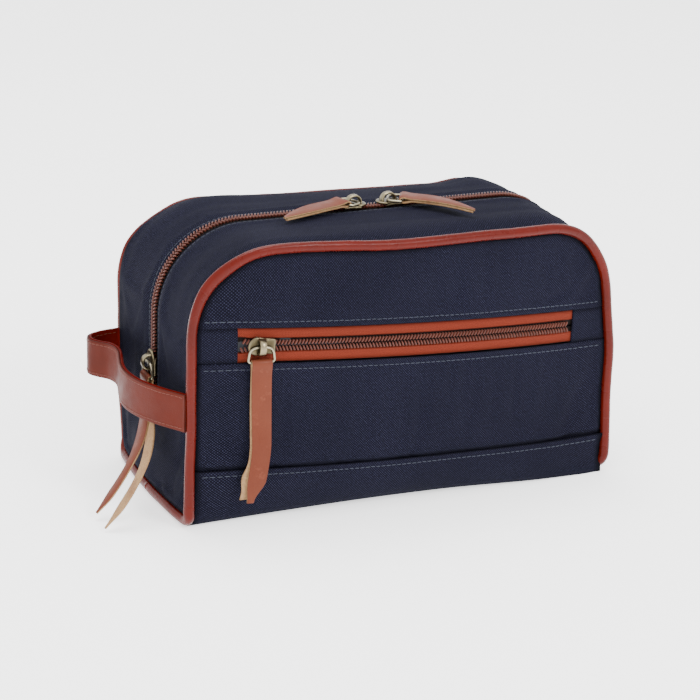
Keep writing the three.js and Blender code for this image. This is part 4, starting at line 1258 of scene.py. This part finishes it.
# heights, and how far the tub is drawn in at each: across its floor, then up its widening wall
levels = [(tub_low[2] + rise, pinch) for rise, pinch in ((0.4, 60), (0.3, 30), (0.3, 12), (1.2, 8.5))]
wall_heights = np.linspace(tub_low[2] + 3, tub_high[2], 34)
levels += [(z, 8 * (1 - smooth((z - tub_low[2]) / 22))) for z in wall_heights]
points = np.array([tub_ring(z) for z, _ in levels])
around = np.arange(points.shape[1]) * TUB_STEP
for ring, (z, pinch) in zip(points, levels):
    fold = (0.6 + wrinkles(around, np.full_like(around, z), 16, 70, 80.0)) * FOLD_DEPTH
    fold = fold * smooth((z - tub_low[2] - 2) / 15)
    ring[:, 0] *= (half_x - pinch) / half_x * (1 - fold / tub_high[0])
    ring[:, 1] *= max((half_y - pinch) / half_y, 0.02) * (1 - fold / tub_high[1])
uv = np.stack(np.meshgrid(around, [z for z, _ in levels]), 2) * MM
faces = grid_faces(len(levels), len(around), wrap_columns=True)
faces.append(tuple(range(len(around))))
lining = add_mesh("lining_bag", points, faces, LINING, uv)
soft(lining, "lining_cloth", ["lining_tub"])

LIP_LINING_LOW = 104.0
for side_name, side in SIDES:
    xs = grid_xs(-118, 118, 3.2)
    rows = []
    for share in np.linspace(0, 1, 16):
        z = LIP_LINING_LOW + (panel_top(xs) - 3.5 - LIP_LINING_LOW) * share
        depth = 2.6 + 0.7 * (1 + wrinkles(xs, z, 30, 30, 90.0 + side))
        rows.append(np.stack([xs, wall_y(side, xs, depth), z], 1))
    edge_y = HALF_DEPTH + bow(xs, CROWN[side]) - 4.5
    over = np.clip(np.abs(xs) - ARCH_X, 0, None)
    for share in np.linspace(0.04, 1, 14):
        y = edge_y + (9.0 - edge_y) * share
        radius = CORNER + gusset_bow(y) - 3.4 - 0.6 * math.sin(share * math.pi)
        z = ARCH_Z + np.sqrt(np.clip(radius**2 - over**2, 0, None))
        rows.append(np.stack([xs, side * y, z], 1))
    uv = np.stack(np.meshgrid(xs, np.arange(len(rows)) * 4.0), 2) * MM
    made = sheet(f"lining_lip_{side_name}", np.array(rows), uv, LINING, outward=(0, side, 0))
    soft(made, "lining_cloth", [f"{side_name}_lip_lining"], (side_name, side))

low, high = cad_box("pocket_bag")
xs, zs = grid_xs(low[0], high[0], 4.0), grid_xs(low[2], high[2], 4.0)
x, z = np.meshgrid(xs, zs)
points = np.stack([x, high[1] - 0.5 + 0.3 * wrinkles(x, z, 25, 25, 95.0), z], 2)
pocket_lining = sheet("pocket_lining", points, plane_uv(points, 0, 2), LINING, outward=(0, -1, 0))
thicken(pocket_lining, 0.5)
soft(pocket_lining, "lining_cloth", ["pocket_bag"])

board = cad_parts["base_board"]
board.data.materials.clear()
board.data.materials.append(BOARD)

# ---------------------------------------------------------------- stitching on the canvas


def seam_thread(name, parts, lip=None, always_up=False):
    points, faces = joined(parts)
    soft(add_mesh(name, points, faces, BLUE_THREAD), "navy_canvas", (), lip, always_up)


def surface_of(objects):
    """One search tree over finished pieces, in millimetres."""
    points, faces, start = [], [], 0
    for made in objects:
        own = coords(made) / MM
        points += [tuple(p) for p in own]
        faces += [[start + i for i in polygon.vertices] for polygon in made.data.polygons]
        start += len(own)
    return BVHTree.FromPolygons(points, faces)


def drop_on(tree, path, outward, clearance=4.0):
    """Moves a line onto the outside of the cloth. outward is one direction a point."""
    outward = np.broadcast_to(np.asarray(outward, float), np.shape(path))
    landed, normals = [], []
    for point, away in zip(path, outward):
        hit = tree.ray_cast(Vector(point + away * clearance), Vector(-away), clearance * 3)
        landed.append(point if hit[0] is None else np.array(hit[0]))
        normal = Vector(away) if hit[1] is None else hit[1]
        normals.append(np.array(normal if normal.dot(Vector(away)) > 0 else -normal))
    return np.array(landed), np.array(normals)


def wall_path(side, low_x, high_x, line):
    xs = grid_xs(low_x, high_x, 1.2)
    return np.stack([xs, wall_y(side, xs), line(xs)], 1)


def wall_stitches(made, side, reach, line):
    """A row of stitches across a panel, between -reach and reach."""
    path = wall_path(side, -reach, reach, line)
    return stitch_parts(*drop_on(surface_of([made]), path, (0, side, 0)))


run_x = PANEL_SIDE - 1.5
base_stitch = {side: sewn_line(side, SEAM_Z - BASE_STITCH_INSET, SEAM_SLOPE) for _, side in SIDES}
seam_thread("thread_shell", [
    wall_stitches(pocket_front, -1, run_x, lower_stitch),
    wall_stitches(base_cloth, -1, run_x, base_stitch[-1]),
    wall_stitches(base_cloth, 1, run_x, base_stitch[1]),
])
seam_thread("thread_front_upper", [wall_stitches(front_upper, -1, PANEL_SIDE - 2.5, upper_stitch)],
            lip=("front", -1))

for side_name, side in SIDES:
    cloth = surface_of([bpy.data.objects[f"gusset_{side_name}"]])
    runs = grid_xs(-ZIP_RUN + 2, ZIP_RUN - 2, 1.3)
    y = np.full_like(runs, ZIP_EDGE + GUSSET_STITCH_INSET)
    path = gusset_point(side, runs, y, 0.0)
    away = gusset_point(side, runs, y, -1.0) - path
    seam_thread(f"thread_gusset_{side_name}", [stitch_parts(*drop_on(cloth, path, away))],
                lip=(side_name, side), always_up=True)

for end_name, end in ENDS:
    cloth = surface_of([bpy.data.objects[f"end_cloth_{end_name}"]])
    y = grid_xs(-54, 54, 1.3)
    z = np.full_like(y, ZIP_END_Z - BASE_STITCH_INSET)
    path = np.stack([end * end_panel_x(y, z), y, z], 1)
    seam_thread(f"thread_end_{end_name}", [stitch_parts(*drop_on(cloth, path, (end, 0, 0)))])

for made, slot_name, stands_for, lip, always_up in soft_pieces:
    put_coords(made, stand(coords(made) / MM) * MM)
    if stands_for:
        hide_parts(*stands_for)
    if lip:
        open_with_lip(made, *lip, always_up)
    else:
        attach(made, "shell")

# ---------------------------------------------------------------- sliders, loops and pulls
# Built lying flat: x runs to the nose and z out of the fabric; z = 0 is the coil's middle.

PLATE_LOW = 2.2
PLATE_HIGH = 3.4
PLATE_HALF = np.array([7.8, 4.9, 1.0])  # its half length and half width, and 1 to keep z
BAR_X = 0.5  # the loop turns in the bridge here
BAR_Z = 4.6
LOOP_LENGTH = 10.8
LOOP_WIRE = 0.78
PIVOT_X = BAR_X - LOOP_LENGTH
PULL_WIDTH = 12.8
LOOP_TAKEN = 2.2  # the loop is drawn this much shorter than in the frame
FOLD_X = PIVOT_X + LOOP_TAKEN


def plate_outline(inset=0.0):
    """The slider plate seen from above: square tail, shoulders, rounded nose."""
    half = [(-7.8, 0.0), (-7.8, 3.6), (-7.3, 4.3), (-4.0, 4.3), (-1.0, 4.35), (1.0, 4.7), (3.0, 5.35),
            (4.6, 5.0), (6.4, 3.6), (7.5, 1.9), (7.8, 0.0)]
    upper = curve_through([(x, y, 0) for x, y in half], 3)
    lower = upper[::-1][1:-1] * np.array([1, -1, 1])
    return np.concatenate([upper, lower]) * (1 - inset / PLATE_HALF)


def lens_plate(low, high, edge, dome=0.0):
    """A plate with rounded rims between two heights."""
    tall = high - low
    levels = [(low, edge), (low + 0.15 * tall, edge * 0.25), (low + 0.5 * tall, 0.0),
              (high - 0.2 * tall, 0.12), (high - 0.05, 0.4), (high + dome * 0.5, 1.3), (high + dome, 2.6)]
    rings = []
    for z, inset in levels:
        ring = plate_outline(inset)
        ring[:, 2] = z
        rings.append(ring)
    count = len(rings[0])
    bottom, top = end_caps(len(rings), count)
    faces = grid_faces(len(rings), count, wrap_columns=True) + [bottom[::-1], top[::-1]]
    return np.array(rings).reshape(-1, 3), faces


def bar(path, width, thickness, across, bevel=0.25):
    """A flat bar along a path, with softened edges; `across` is the direction of its width."""
    _, normal, side = frames_along(path, across)
    half_widths, half_thick = np.broadcast_to(width, len(path)) / 2, thickness / 2
    # shares of the half width and half thickness, and of the bevel, at each corner
    section = [(-1, -1, 1, 0), (-1, -1, 0, 1), (-1, 1, 0, -1), (-1, 1, 1, 0), (1, 1, -1, 0), (1, 1, 0, -1),
               (1, -1, 0, 1), (1, -1, -1, 0)]
    points = np.array([[p + n * (a * half + c * bevel) + s * (b * half_thick + d * bevel)
                        for a, b, c, d in section]
                       for p, n, s, half in zip(np.asarray(path, float), normal, side, half_widths)])
    faces = grid_faces(len(path), 8, wrap_columns=True) + end_caps(len(path), 8)
    return points.reshape(-1, 3), faces


def spin(angle):
    """Turns points about z, when it is used on their right."""
    c, s = math.cos(angle), math.sin(angle)
    return np.array([[c, s, 0], [-s, c, 0], [0, 0, 1]])


def slider_parts(bridge_turn):
    """Two plates, two rails, the post between them and the bridge that holds the loop."""
    parts = [lens_plate(PLATE_LOW, PLATE_HIGH, 0.3, 0.12), lens_plate(-PLATE_HIGH + 0.3, -PLATE_LOW, 0.3)]
    for side in (-1, 1):
        edge = [(-7.2, 4.05), (-2, 4.1), (1.2, 4.5), (3.4, 5.0)]
        rail = curve_through([(x, side * y, 1.6) for x, y in edge], 5)
        parts.append(bar(rail, 1.5, 0.7, (0, 0, 1), 0.15))
    post = np.array([(1.2, 0, 0), (3.5, 0, 0), (6.2, 0, 0)], float)
    parts.append(bar(post, 2 * PLATE_LOW + 0.6, 0.6, (0, 0, 1), 0.1))
    half = [(4.6, -0.1), (4.5, 1.2), (3.4, 3.2), (1.5, 4.2)]
    hump = [(-x, rise) for x, rise in half] + [(0.0, 4.4)] + half[::-1]
    line = curve_through([(x, 0, PLATE_HIGH + rise) for x, rise in hump], 4)
    line[:, 0] *= 0.9
    widths = 3.8 + 1.2 * np.abs(np.linspace(-1, 1, len(line))) ** 3
    points, faces = bar(line, widths, 1.25, (0, 1, 0), 0.3)
    parts.append((points @ spin(bridge_turn) + np.array([BAR_X - 0.2, 0, 0]), faces))
    return parts


def loop_part():
    """The wire loop: it passes through the bridge at its narrow end."""
    far = PIVOT_X
    half = [(far, 0.0), (far, 4.6), (far + 0.25, 6.5), (far + 1.3, 7.35), (far + 3.6, 7.3)]
    half += [(BAR_X - 3.2, 6.7), (BAR_X - 1.1, 5.4), (BAR_X - 0.2, 3.4), (BAR_X, 1.2)]
    other = [(x, -y) for x, y in half[::-1]][:-1]
    path = curve_through([(x, y, BAR_Z) for x, y in half + other], 6, closed=True)
    path[:, 0] = BAR_X + (path[:, 0] - BAR_X) * (LOOP_LENGTH - LOOP_TAKEN) / LOOP_LENGTH
    return tube(path, LOOP_WIRE, sides=10, closed=True)


STRAP_THICK = 1.15
STRAP_RISE = 0.5  # the fold stands this far above the rest of the strap
STRAP_BEVEL = 0.28
LAYER_APART = 0.66  # from the middle of the folded strap to the middle of a layer
FOLD = [(3.2, -1.25), (1.4, -1.7), (0.0, -1.85), (-1.3, -1.3), (-1.85, 0.0), (-1.3, 1.3), (0.0, 1.85),
        (1.4, 1.7), (3.2, 1.25)]
FINISHED_FACES = (4, 5, 6)  # of a strap's eight faces round, the others are raw hide
STRAP_RIM = [0, 0, 0, 0, 1, 0.25, 0.25, 1]


def strap_layers(lengths, widths, bend, shift):
    """A strap folded round the loop's far bar: points, faces, material choice and rim shade.

    lengths are the lower and the upper layer's. For a reach from the fold and a layer of -1 or 1,
    widths gives the left and right edge, bend lifts the layer and shift moves it sideways."""
    stations = []
    for layer, length in zip((-1, 1), lengths):
        reaches = np.linspace(5.0, length, 34)
        flat = [(r, layer * LAYER_APART + bend(r, layer), r, layer) for r in reaches]
        if layer < 0:
            stations += flat[::-1]
            stations += [(r, z, max(r, 0.0), -1 if z < 0 else 1) for r, z in FOLD]
        else:
            stations += flat
    centre = np.array([(FOLD_X - r, 0.0, BAR_Z + z + STRAP_RISE * (1 - smooth(r / 12)))
                       for r, z, _, _ in stations])
    for _ in range(2):
        centre[1:-1] = (centre[:-2] + 2 * centre[1:-1] + centre[2:]) / 4
    up = np.cross(unit(np.gradient(centre, axis=0)), np.array([0, 1.0, 0]))
    half = STRAP_THICK / 2
    rows = []
    for (_, _, reach, layer), p, n in zip(stations, centre, up):
        left, right = widths(reach, layer)
        side = shift(reach, layer)
        over = [(left, half * 0.75), (left + STRAP_BEVEL, half)]
        over += [(right - STRAP_BEVEL, half), (right, half * 0.75)]
        section = over + [(y, -t) for y, t in over[::-1]]
        rows.append([p + n * t + np.array([0, y + side, 0]) for y, t in section])
    faces = grid_faces(len(rows), 8, wrap_columns=True) + end_caps(len(rows), 8)
    choice = [0 if j in FINISHED_FACES else 1 for j in range(8)] * (len(rows) - 1) + [1, 1]
    return np.array(rows), faces, choice, np.array([STRAP_RIM] * len(rows))


def placement(along, out, origin, turn):
    """The local frame of a slider, and the same turned about the bar for its loop and pull."""
    x, z = Vector(along).normalized(), Vector(out).normalized()
    axes = np.array([[*x], [*z.cross(x)], [*z]])
    turned = spin(turn)
    bar_point = np.array([BAR_X, 0, 0])

    def place(points):
        return np.asarray(points).reshape(-1, 3) @ axes + np.array(origin)

    def place_turned(points):
        local = (np.asarray(points).reshape(-1, 3) - bar_point) @ turned + bar_point
        return local @ axes + np.array(origin)

    return place, place_turned


coil_z = HEIGHT + GUSSET_CROWN - COIL_DEPTH
TOP_SLIDER_X = 11.5
END_SLIDER_Z = 81.0
POCKET_SLIDER_X = -95.6
slew = math.radians(12)  # the frame's top pulls lie turned to the front by this much
plan_radius = (END_X**2 + CROWN[-1] ** 2) / (2 * CROWN[-1])
pocket_angle = math.asin(POCKET_SLIDER_X / plan_radius)
tilt = math.atan(WINDOW_SLOPE)
sin_a, cos_a = math.sin(pocket_angle), math.cos(pocket_angle)
pocket_out = (sin_a, -cos_a, 0)
pocket_along = (-cos_a * math.cos(tilt), -sin_a * math.cos(tilt), math.sin(tilt))
pocket_origin = (POCKET_SLIDER_X - sin_a * COIL_DEPTH, wall_y(-1, POCKET_SLIDER_X) + cos_a * COIL_DEPTH,
                 (WINDOW_LOW + WINDOW_HIGH) / 2 - WINDOW_SLOPE * POCKET_SLIDER_X)
end_coil_x = -(END_X + GUSSET_CROWN - COIL_DEPTH)
# each zip's way to the nose, way out, slider place, turn of the pull and turn of the bridge
ZIPS = {
    "top_left": ((1, 0, 0), (0, 0, 1), (-TOP_SLIDER_X, 0, coil_z), slew + math.radians(4), 0.0),
    "top_right": ((-1, 0, 0), (0, 0, 1), (TOP_SLIDER_X, 0, coil_z), -slew - math.radians(16), 0.0),
    "end": ((0, 0, 1), (-1, 0, 0), (end_coil_x, 0, END_SLIDER_Z), 0.0, 0.0),
    "pocket": (pocket_along, pocket_out, pocket_origin, -math.pi / 2 + tilt, math.pi / 2),
}


def pointed(length, width, tip_side):
    """Half widths of a strap that narrows to a small rounded tip."""
    def widths(reach, layer):
        taper = np.clip((reach - (length - 26)) / 26, 0, 1) ** 1.7
        half = (width / 2 - 0.15 - 0.25 * (layer < 0)) * (1 - 0.82 * taper)
        offset = tip_side * 1.4 * taper
        return offset - half, offset + half
    return widths


def slim(length):
    """Half widths of a strap that slims slightly along its way and ends in a slanted cut."""
    def widths(reach, layer):
        half = 11.7 / 2 * (1 - 0.06 * smooth(reach / length))
        end_at = length if layer > 0 else length - 4
        cut = smooth((reach - (end_at - 13)) / 13)
        left_cut, right_cut = (1.05, 0.25) if layer > 0 else (0.2, 1.0)
        return -half * (1 - left_cut * cut), half * (1 - right_cut * cut)
    return widths


def arched(rise, droop):
    """A strap that arches up in its middle and droops to its tip."""
    return lambda r, layer: rise * math.sin(math.pi * min(r / 50, 1)) - droop * (r / 50) ** 2


def parted(r, layer):
    """The pocket pull stands off the cloth, and its layers part near their ends."""
    return 3.3 * ramp(r, 20, 50) + (1.0 if layer > 0 else 0.1) * ramp(r, 46, 38)


def pocket_drift(r, layer):
    drift = 4.4 * ramp(r, 46, 38) - 0.3 * layer * ramp(r, 4, 30)
    return drift + (7.5 * ramp(r, 56, 26) if layer < 0 else 0.0)


# lengths of the two layers, half widths, lift and sideways drift of each pull
PULLS = {
    "top_left": ((47.5, 48.5), pointed(48.5, 12.0, -1), arched(0.6, 0.4),
                 lambda r, layer: -5.0 * (r / 50) ** 1.3 + 0.2 * layer * ramp(r, 10, 40)),
    "top_right": ((41.8, 42.8), pointed(42.8, 13.5, 1), arched(1.6, 0.2),
                  lambda r, layer: 26.0 * (max(r - 2, 0) / 47) ** 1.4 - 0.2 * layer * ramp(r, 10, 40)),
    "pocket": ((80.2, 81.8), slim(81.8), parted, pocket_drift),
}

PULL_STITCH_REACH = 5.4
PULL_STITCH_HALF = 4.8
PULL_STITCH_Z = 1.34
PULL_STITCH_TURN = math.pi / 2 - 0.5


def pull_stitches():
    """A short slanting row under the fold, on both faces."""
    points, faces = STITCH
    turned = points * np.array([0.8, 1.1, 1.0]) @ spin(PULL_STITCH_TURN)
    return [(turned + np.array([FOLD_X - PULL_STITCH_REACH, y, BAR_Z + face * PULL_STITCH_Z]), faces)
            for face in (-1, 1) for y in np.linspace(-PULL_STITCH_HALF, PULL_STITCH_HALF, 6)]


def ride_in(made, node):
    """A rigid piece that takes the place of one CAD node and rides on its body."""
    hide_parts(node)
    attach(made, node)


def add_strap(zip_name, place_turned, lengths, widths, bend, shift):
    points, faces, choice, rim = strap_layers(lengths, widths, bend, shift)
    name = f"{zip_name}_leather_pull"
    return add_mesh(name, place_turned(points), faces, [PULL, RAW], rim=rim, choice=choice)


def pull_thread(zip_name, place_turned):
    points, faces = joined(pull_stitches())
    thread = add_mesh(f"{zip_name}_pull_thread", place_turned(points), faces, RUST_THREAD)
    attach(thread, f"{zip_name}_pull")


for zip_name, (along, out, origin, turn, bridge_turn) in ZIPS.items():
    place, place_turned = placement(along, out, origin, turn)
    points, faces = joined(slider_parts(bridge_turn))
    slider = add_mesh(f"{zip_name}_slider_body", place(points), faces, BRASS)
    ride_in(slider, f"{zip_name}_slider")
    points, faces = loop_part()
    loop = add_mesh(f"{zip_name}_wire_loop", place_turned(points), faces, WIRE)
    ride_in(loop, f"{zip_name}_loop")
    if zip_name == "end":
        continue
    strap = add_strap(zip_name, place_turned, *PULLS[zip_name])
    ride_in(strap, f"{zip_name}_pull")
    pull_thread(zip_name, place_turned)

# the end pull hangs behind the handle, bends out under it and ends in two curved tails
_, place_turned = placement(*ZIPS["end"][:4])
HANDLE_REACH = 12.0  # the pull comes out from under the handle here
TAIL_SWING = {1: (28.0, 15), -1: (46.0, 14.5)}  # how far each tail drifts, and how slowly


def below_handle(reach):
    """Distance past the handle's lower edge, easing in from nothing."""
    beyond = max(reach - HANDLE_REACH, 0.0)
    return beyond**2 / (beyond + 5.0)


def end_bend(reach, layer):
    """How far a layer stands out from the bag."""
    beyond = below_handle(reach)
    bend = 0.56 * beyond + 0.0034 * beyond**2 + 1.2 * (1 - math.exp(-beyond / 4))
    return bend - 0.25 * layer * smooth(beyond / 20)


def end_shift(reach, layer):
    """Sideways to the front, with the two tails parting."""
    far, ease = TAIL_SWING[layer]
    return -far * (1 - math.exp(-below_handle(reach) / ease))


def end_widths(reach, layer):
    half = (PULL_WIDTH / 2 - 0.1) * (1 - 0.42 * ramp(reach, 24, 22))
    cut = ramp(reach, 58, 14)
    return -half * (1 - 0.95 * cut), half * (1 - 0.8 * cut)


end_strap = add_strap("end", place_turned, (71.0, 69.0), end_widths, end_bend, end_shift)
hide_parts("end_pull", "end_pull_tails")
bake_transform(end_strap)
pull_thread("end", place_turned)

# ---------------------------------------------------------------- handle

strap_low, strap_high = cad_box("handle_strap")
HANDLE_MIDDLE = (strap_low[2] + strap_high[2]) / 2
HANDLE_HALF = (strap_high[2] - strap_low[2]) / 2 - 0.7
HANDLE_STEP = 1.6
OUTER_THICK = 1.5
INNER_THICK = 1.2
LAYER_GAP = 0.05
HANDLE_CROWN = 0.35
HANDLE_STITCH_INSET = 2.3
# the strap's line from its front end to its back end: x, y and the height above the middle of the frame's
ROUTE = [(-136.6, -59.0, 0.8), (-139.6, -54, 0.8), (-147.2, -41, 0.8), (-152.8, -26, 0.8), (-154.6, -12, 1),
         (-153.0, 0, 1.5), (-149.6, 12, 2.5), (-147.6, 22, 2.6), (-149.2, 32, 2.4), (-154.2, 39.5, 2.2),
         (-156.6, 44, 2.2), (-155.2, 50, 2.2), (-148, 54, 2.2), (-136.0, 56, 2.2)]
route = resample(curve_through([(x, y, HANDLE_MIDDLE + lift) for x, y, lift in ROUTE], 12), HANDLE_STEP)
shares = np.linspace(0, 1, len(route))


def handle_weight(points):
    """0 at the two sewn ends and 1 along the free strap."""
    flat = np.asarray(points)[:, :2]
    nearest = np.array([np.argmin(((route[:, :2] - p) ** 2).sum(1)) for p in flat])
    share = shares[nearest]
    return ramp(share, 0.055, 0.13) * smooth((0.955 - share) / 0.11)


def tilt_with_handle(made):
    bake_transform(made)
    weight = handle_weight(coords(made) / MM)
    return made


STRAP_HEIGHTS = [-1, -0.985, -0.93, -0.6, -0.2, 0.2, 0.6, 0.93, 0.985, 1]


def rounding(h):
    """How far a strap's face lies back at a share of its half width, for soft edges."""
    return 0.42 if abs(h) == 1 else (0.12 if abs(h) > 0.97 else 0.0)


def burnish(h, beside, elsewhere):
    """Rim shade at a share of the half width: full on the edge, `beside` it, and elsewhere."""
    return 1.0 if abs(h) > 0.96 else (beside if abs(h) > 0.9 else elsewhere)


def strap_layer(name, outside, thickness, half_width, material, crown=0.0):
    """One leather layer of the handle, with rounded, burnished edges."""
    _, _, out = frames_along(route, (0, 0, 1))
    rows = []
    for p, o, r in zip(route, out, np.arange(len(route)) * HANDLE_STEP):
        sag = 0.075 * noise.noise(Vector((r / 14, 0.3, 5.0)))
        ring = []
        for h in STRAP_HEIGHTS:
            depth = outside - rounding(h) + crown * (1 - h * h) + sag
            wander = 0.18 * noise.noise(Vector((r / 20, h, 8.0)))
            ring.append(p + o * depth + np.array([0, 0, h * half_width + wander]))
        for h in STRAP_HEIGHTS[::-1]:
            ring.append(p + o * (outside - thickness + rounding(h)) + np.array([0, 0, h * half_width]))
        rows.append(ring)
    rim = [burnish(h, 0.35, 0.0) for h in STRAP_HEIGHTS]
    rim += [burnish(h, 0.2, 0.2) for h in STRAP_HEIGHTS[::-1]]
    faces = grid_faces(len(rows), len(rim), wrap_columns=True) + end_caps(len(rows), len(rim))
    return add_mesh(name, np.array(rows), faces, material, rim=np.array([rim] * len(rows)))


outer = strap_layer("handle_outer", 0.0, OUTER_THICK, HANDLE_HALF, HANDLE, HANDLE_CROWN)
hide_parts("handle_strap", "handle_end_front", "handle_end_back")
inner = strap_layer("handle_inner", -OUTER_THICK - LAYER_GAP, INNER_THICK, HANDLE_HALF - 0.3, HANDLE_INNER)
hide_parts("handle_lining")
rows = []
_, _, out = frames_along(route, (0, 0, 1))
for height in (-1, 1):
    line = route + np.array([0, 0, height * (HANDLE_HALF - HANDLE_STITCH_INSET)])
    inside = OUTER_THICK + LAYER_GAP + INNER_THICK
    rows.append(stitch_parts(line + out * (0.35 * HANDLE_CROWN), out, spacing=2.9, lift=0.02))
    rows.append(stitch_parts(line - out * inside, -out, spacing=2.9, lift=0.02))
points, faces = joined(rows)
handle_thread = add_mesh("handle_thread", points, faces, RUST_THREAD)
for made in (outer, inner, handle_thread):
    tilt_with_handle(made)

# ---------------------------------------------------------------- floor, light and camera

floor_paint = Paint("pale_floor")
tone = floor_paint.noise(6.0, 3.0, floor_paint.place())
floor_white = floor_paint.mix(tone, (0.93, 0.93, 0.93), (0.95, 0.95, 0.95))
floor_paint.finish(floor_white, 0.95, Specular_IOR_Level=0.0, Emission_Strength=1.2,
                   Emission_Color=(1, 1, 1, 1))
FLOOR_SIZE, FLOOR_Z = 8, -0.0002
bpy.ops.mesh.primitive_plane_add(size=FLOOR_SIZE, location=(0, 0, FLOOR_Z))
floor = bpy.context.object
floor.name = "floor"
floor.data.materials.append(floor_paint.material)

world = bpy.data.worlds.new("studio")
bpy.context.scene.world = world
world.use_nodes = True
sky = world.node_tree.nodes["Background"]
sky.inputs["Color"].default_value = (1, 1, 1, 1)
sky.inputs["Strength"].default_value = 2.0


def area_light(name, place, target, size, power):
    data = bpy.data.lights.new(name, "AREA")
    data.shape = "DISK"
    data.size = size
    data.energy = power
    lamp = bpy.data.objects.new(name, data)
    bpy.context.scene.collection.objects.link(lamp)
    lamp.location = place
    lamp.rotation_euler = (Vector(target) - Vector(place)).to_track_quat("-Z", "Y").to_euler()


AIM = (0, 0, 0.08)
area_light("key", (0.5, -1.5, 1.3), AIM, 0.6, 26)
area_light("side", (-1.5, -0.5, 0.8), AIM, 0.9, 4)
area_light("overhead", (-0.1, 0.3, 1.8), AIM, 1.0, 27)

CAMERA_PLACE = (-0.54744, -1.12224, 0.50688)
YAW, PITCH, ROLL = 0.446547, 0.335209, 0.035164  # radians
SENSOR = 36.0
LENS = 113.14
forward = Vector((math.sin(YAW) * math.cos(PITCH), math.cos(YAW) * math.cos(PITCH), -math.sin(PITCH)))
level = Vector((math.cos(YAW), -math.sin(YAW), 0))
above = level.cross(forward)
right = level * math.cos(ROLL) + above * math.sin(ROLL)
up = above * math.cos(ROLL) - level * math.sin(ROLL)
camera_data = bpy.data.cameras.new("camera")
camera_data.sensor_width = SENSOR
camera_data.lens = LENS
camera = bpy.data.objects.new("camera", camera_data)
bpy.context.scene.collection.objects.link(camera)
camera.matrix_world = Matrix((
    (right.x, up.x, -forward.x, CAMERA_PLACE[0]),
    (right.y, up.y, -forward.y, CAMERA_PLACE[1]),
    (right.z, up.z, -forward.z, CAMERA_PLACE[2]),
    (0, 0, 0, 1),
))
bpy.context.scene.camera = camera

bpy.context.view_layer.update()
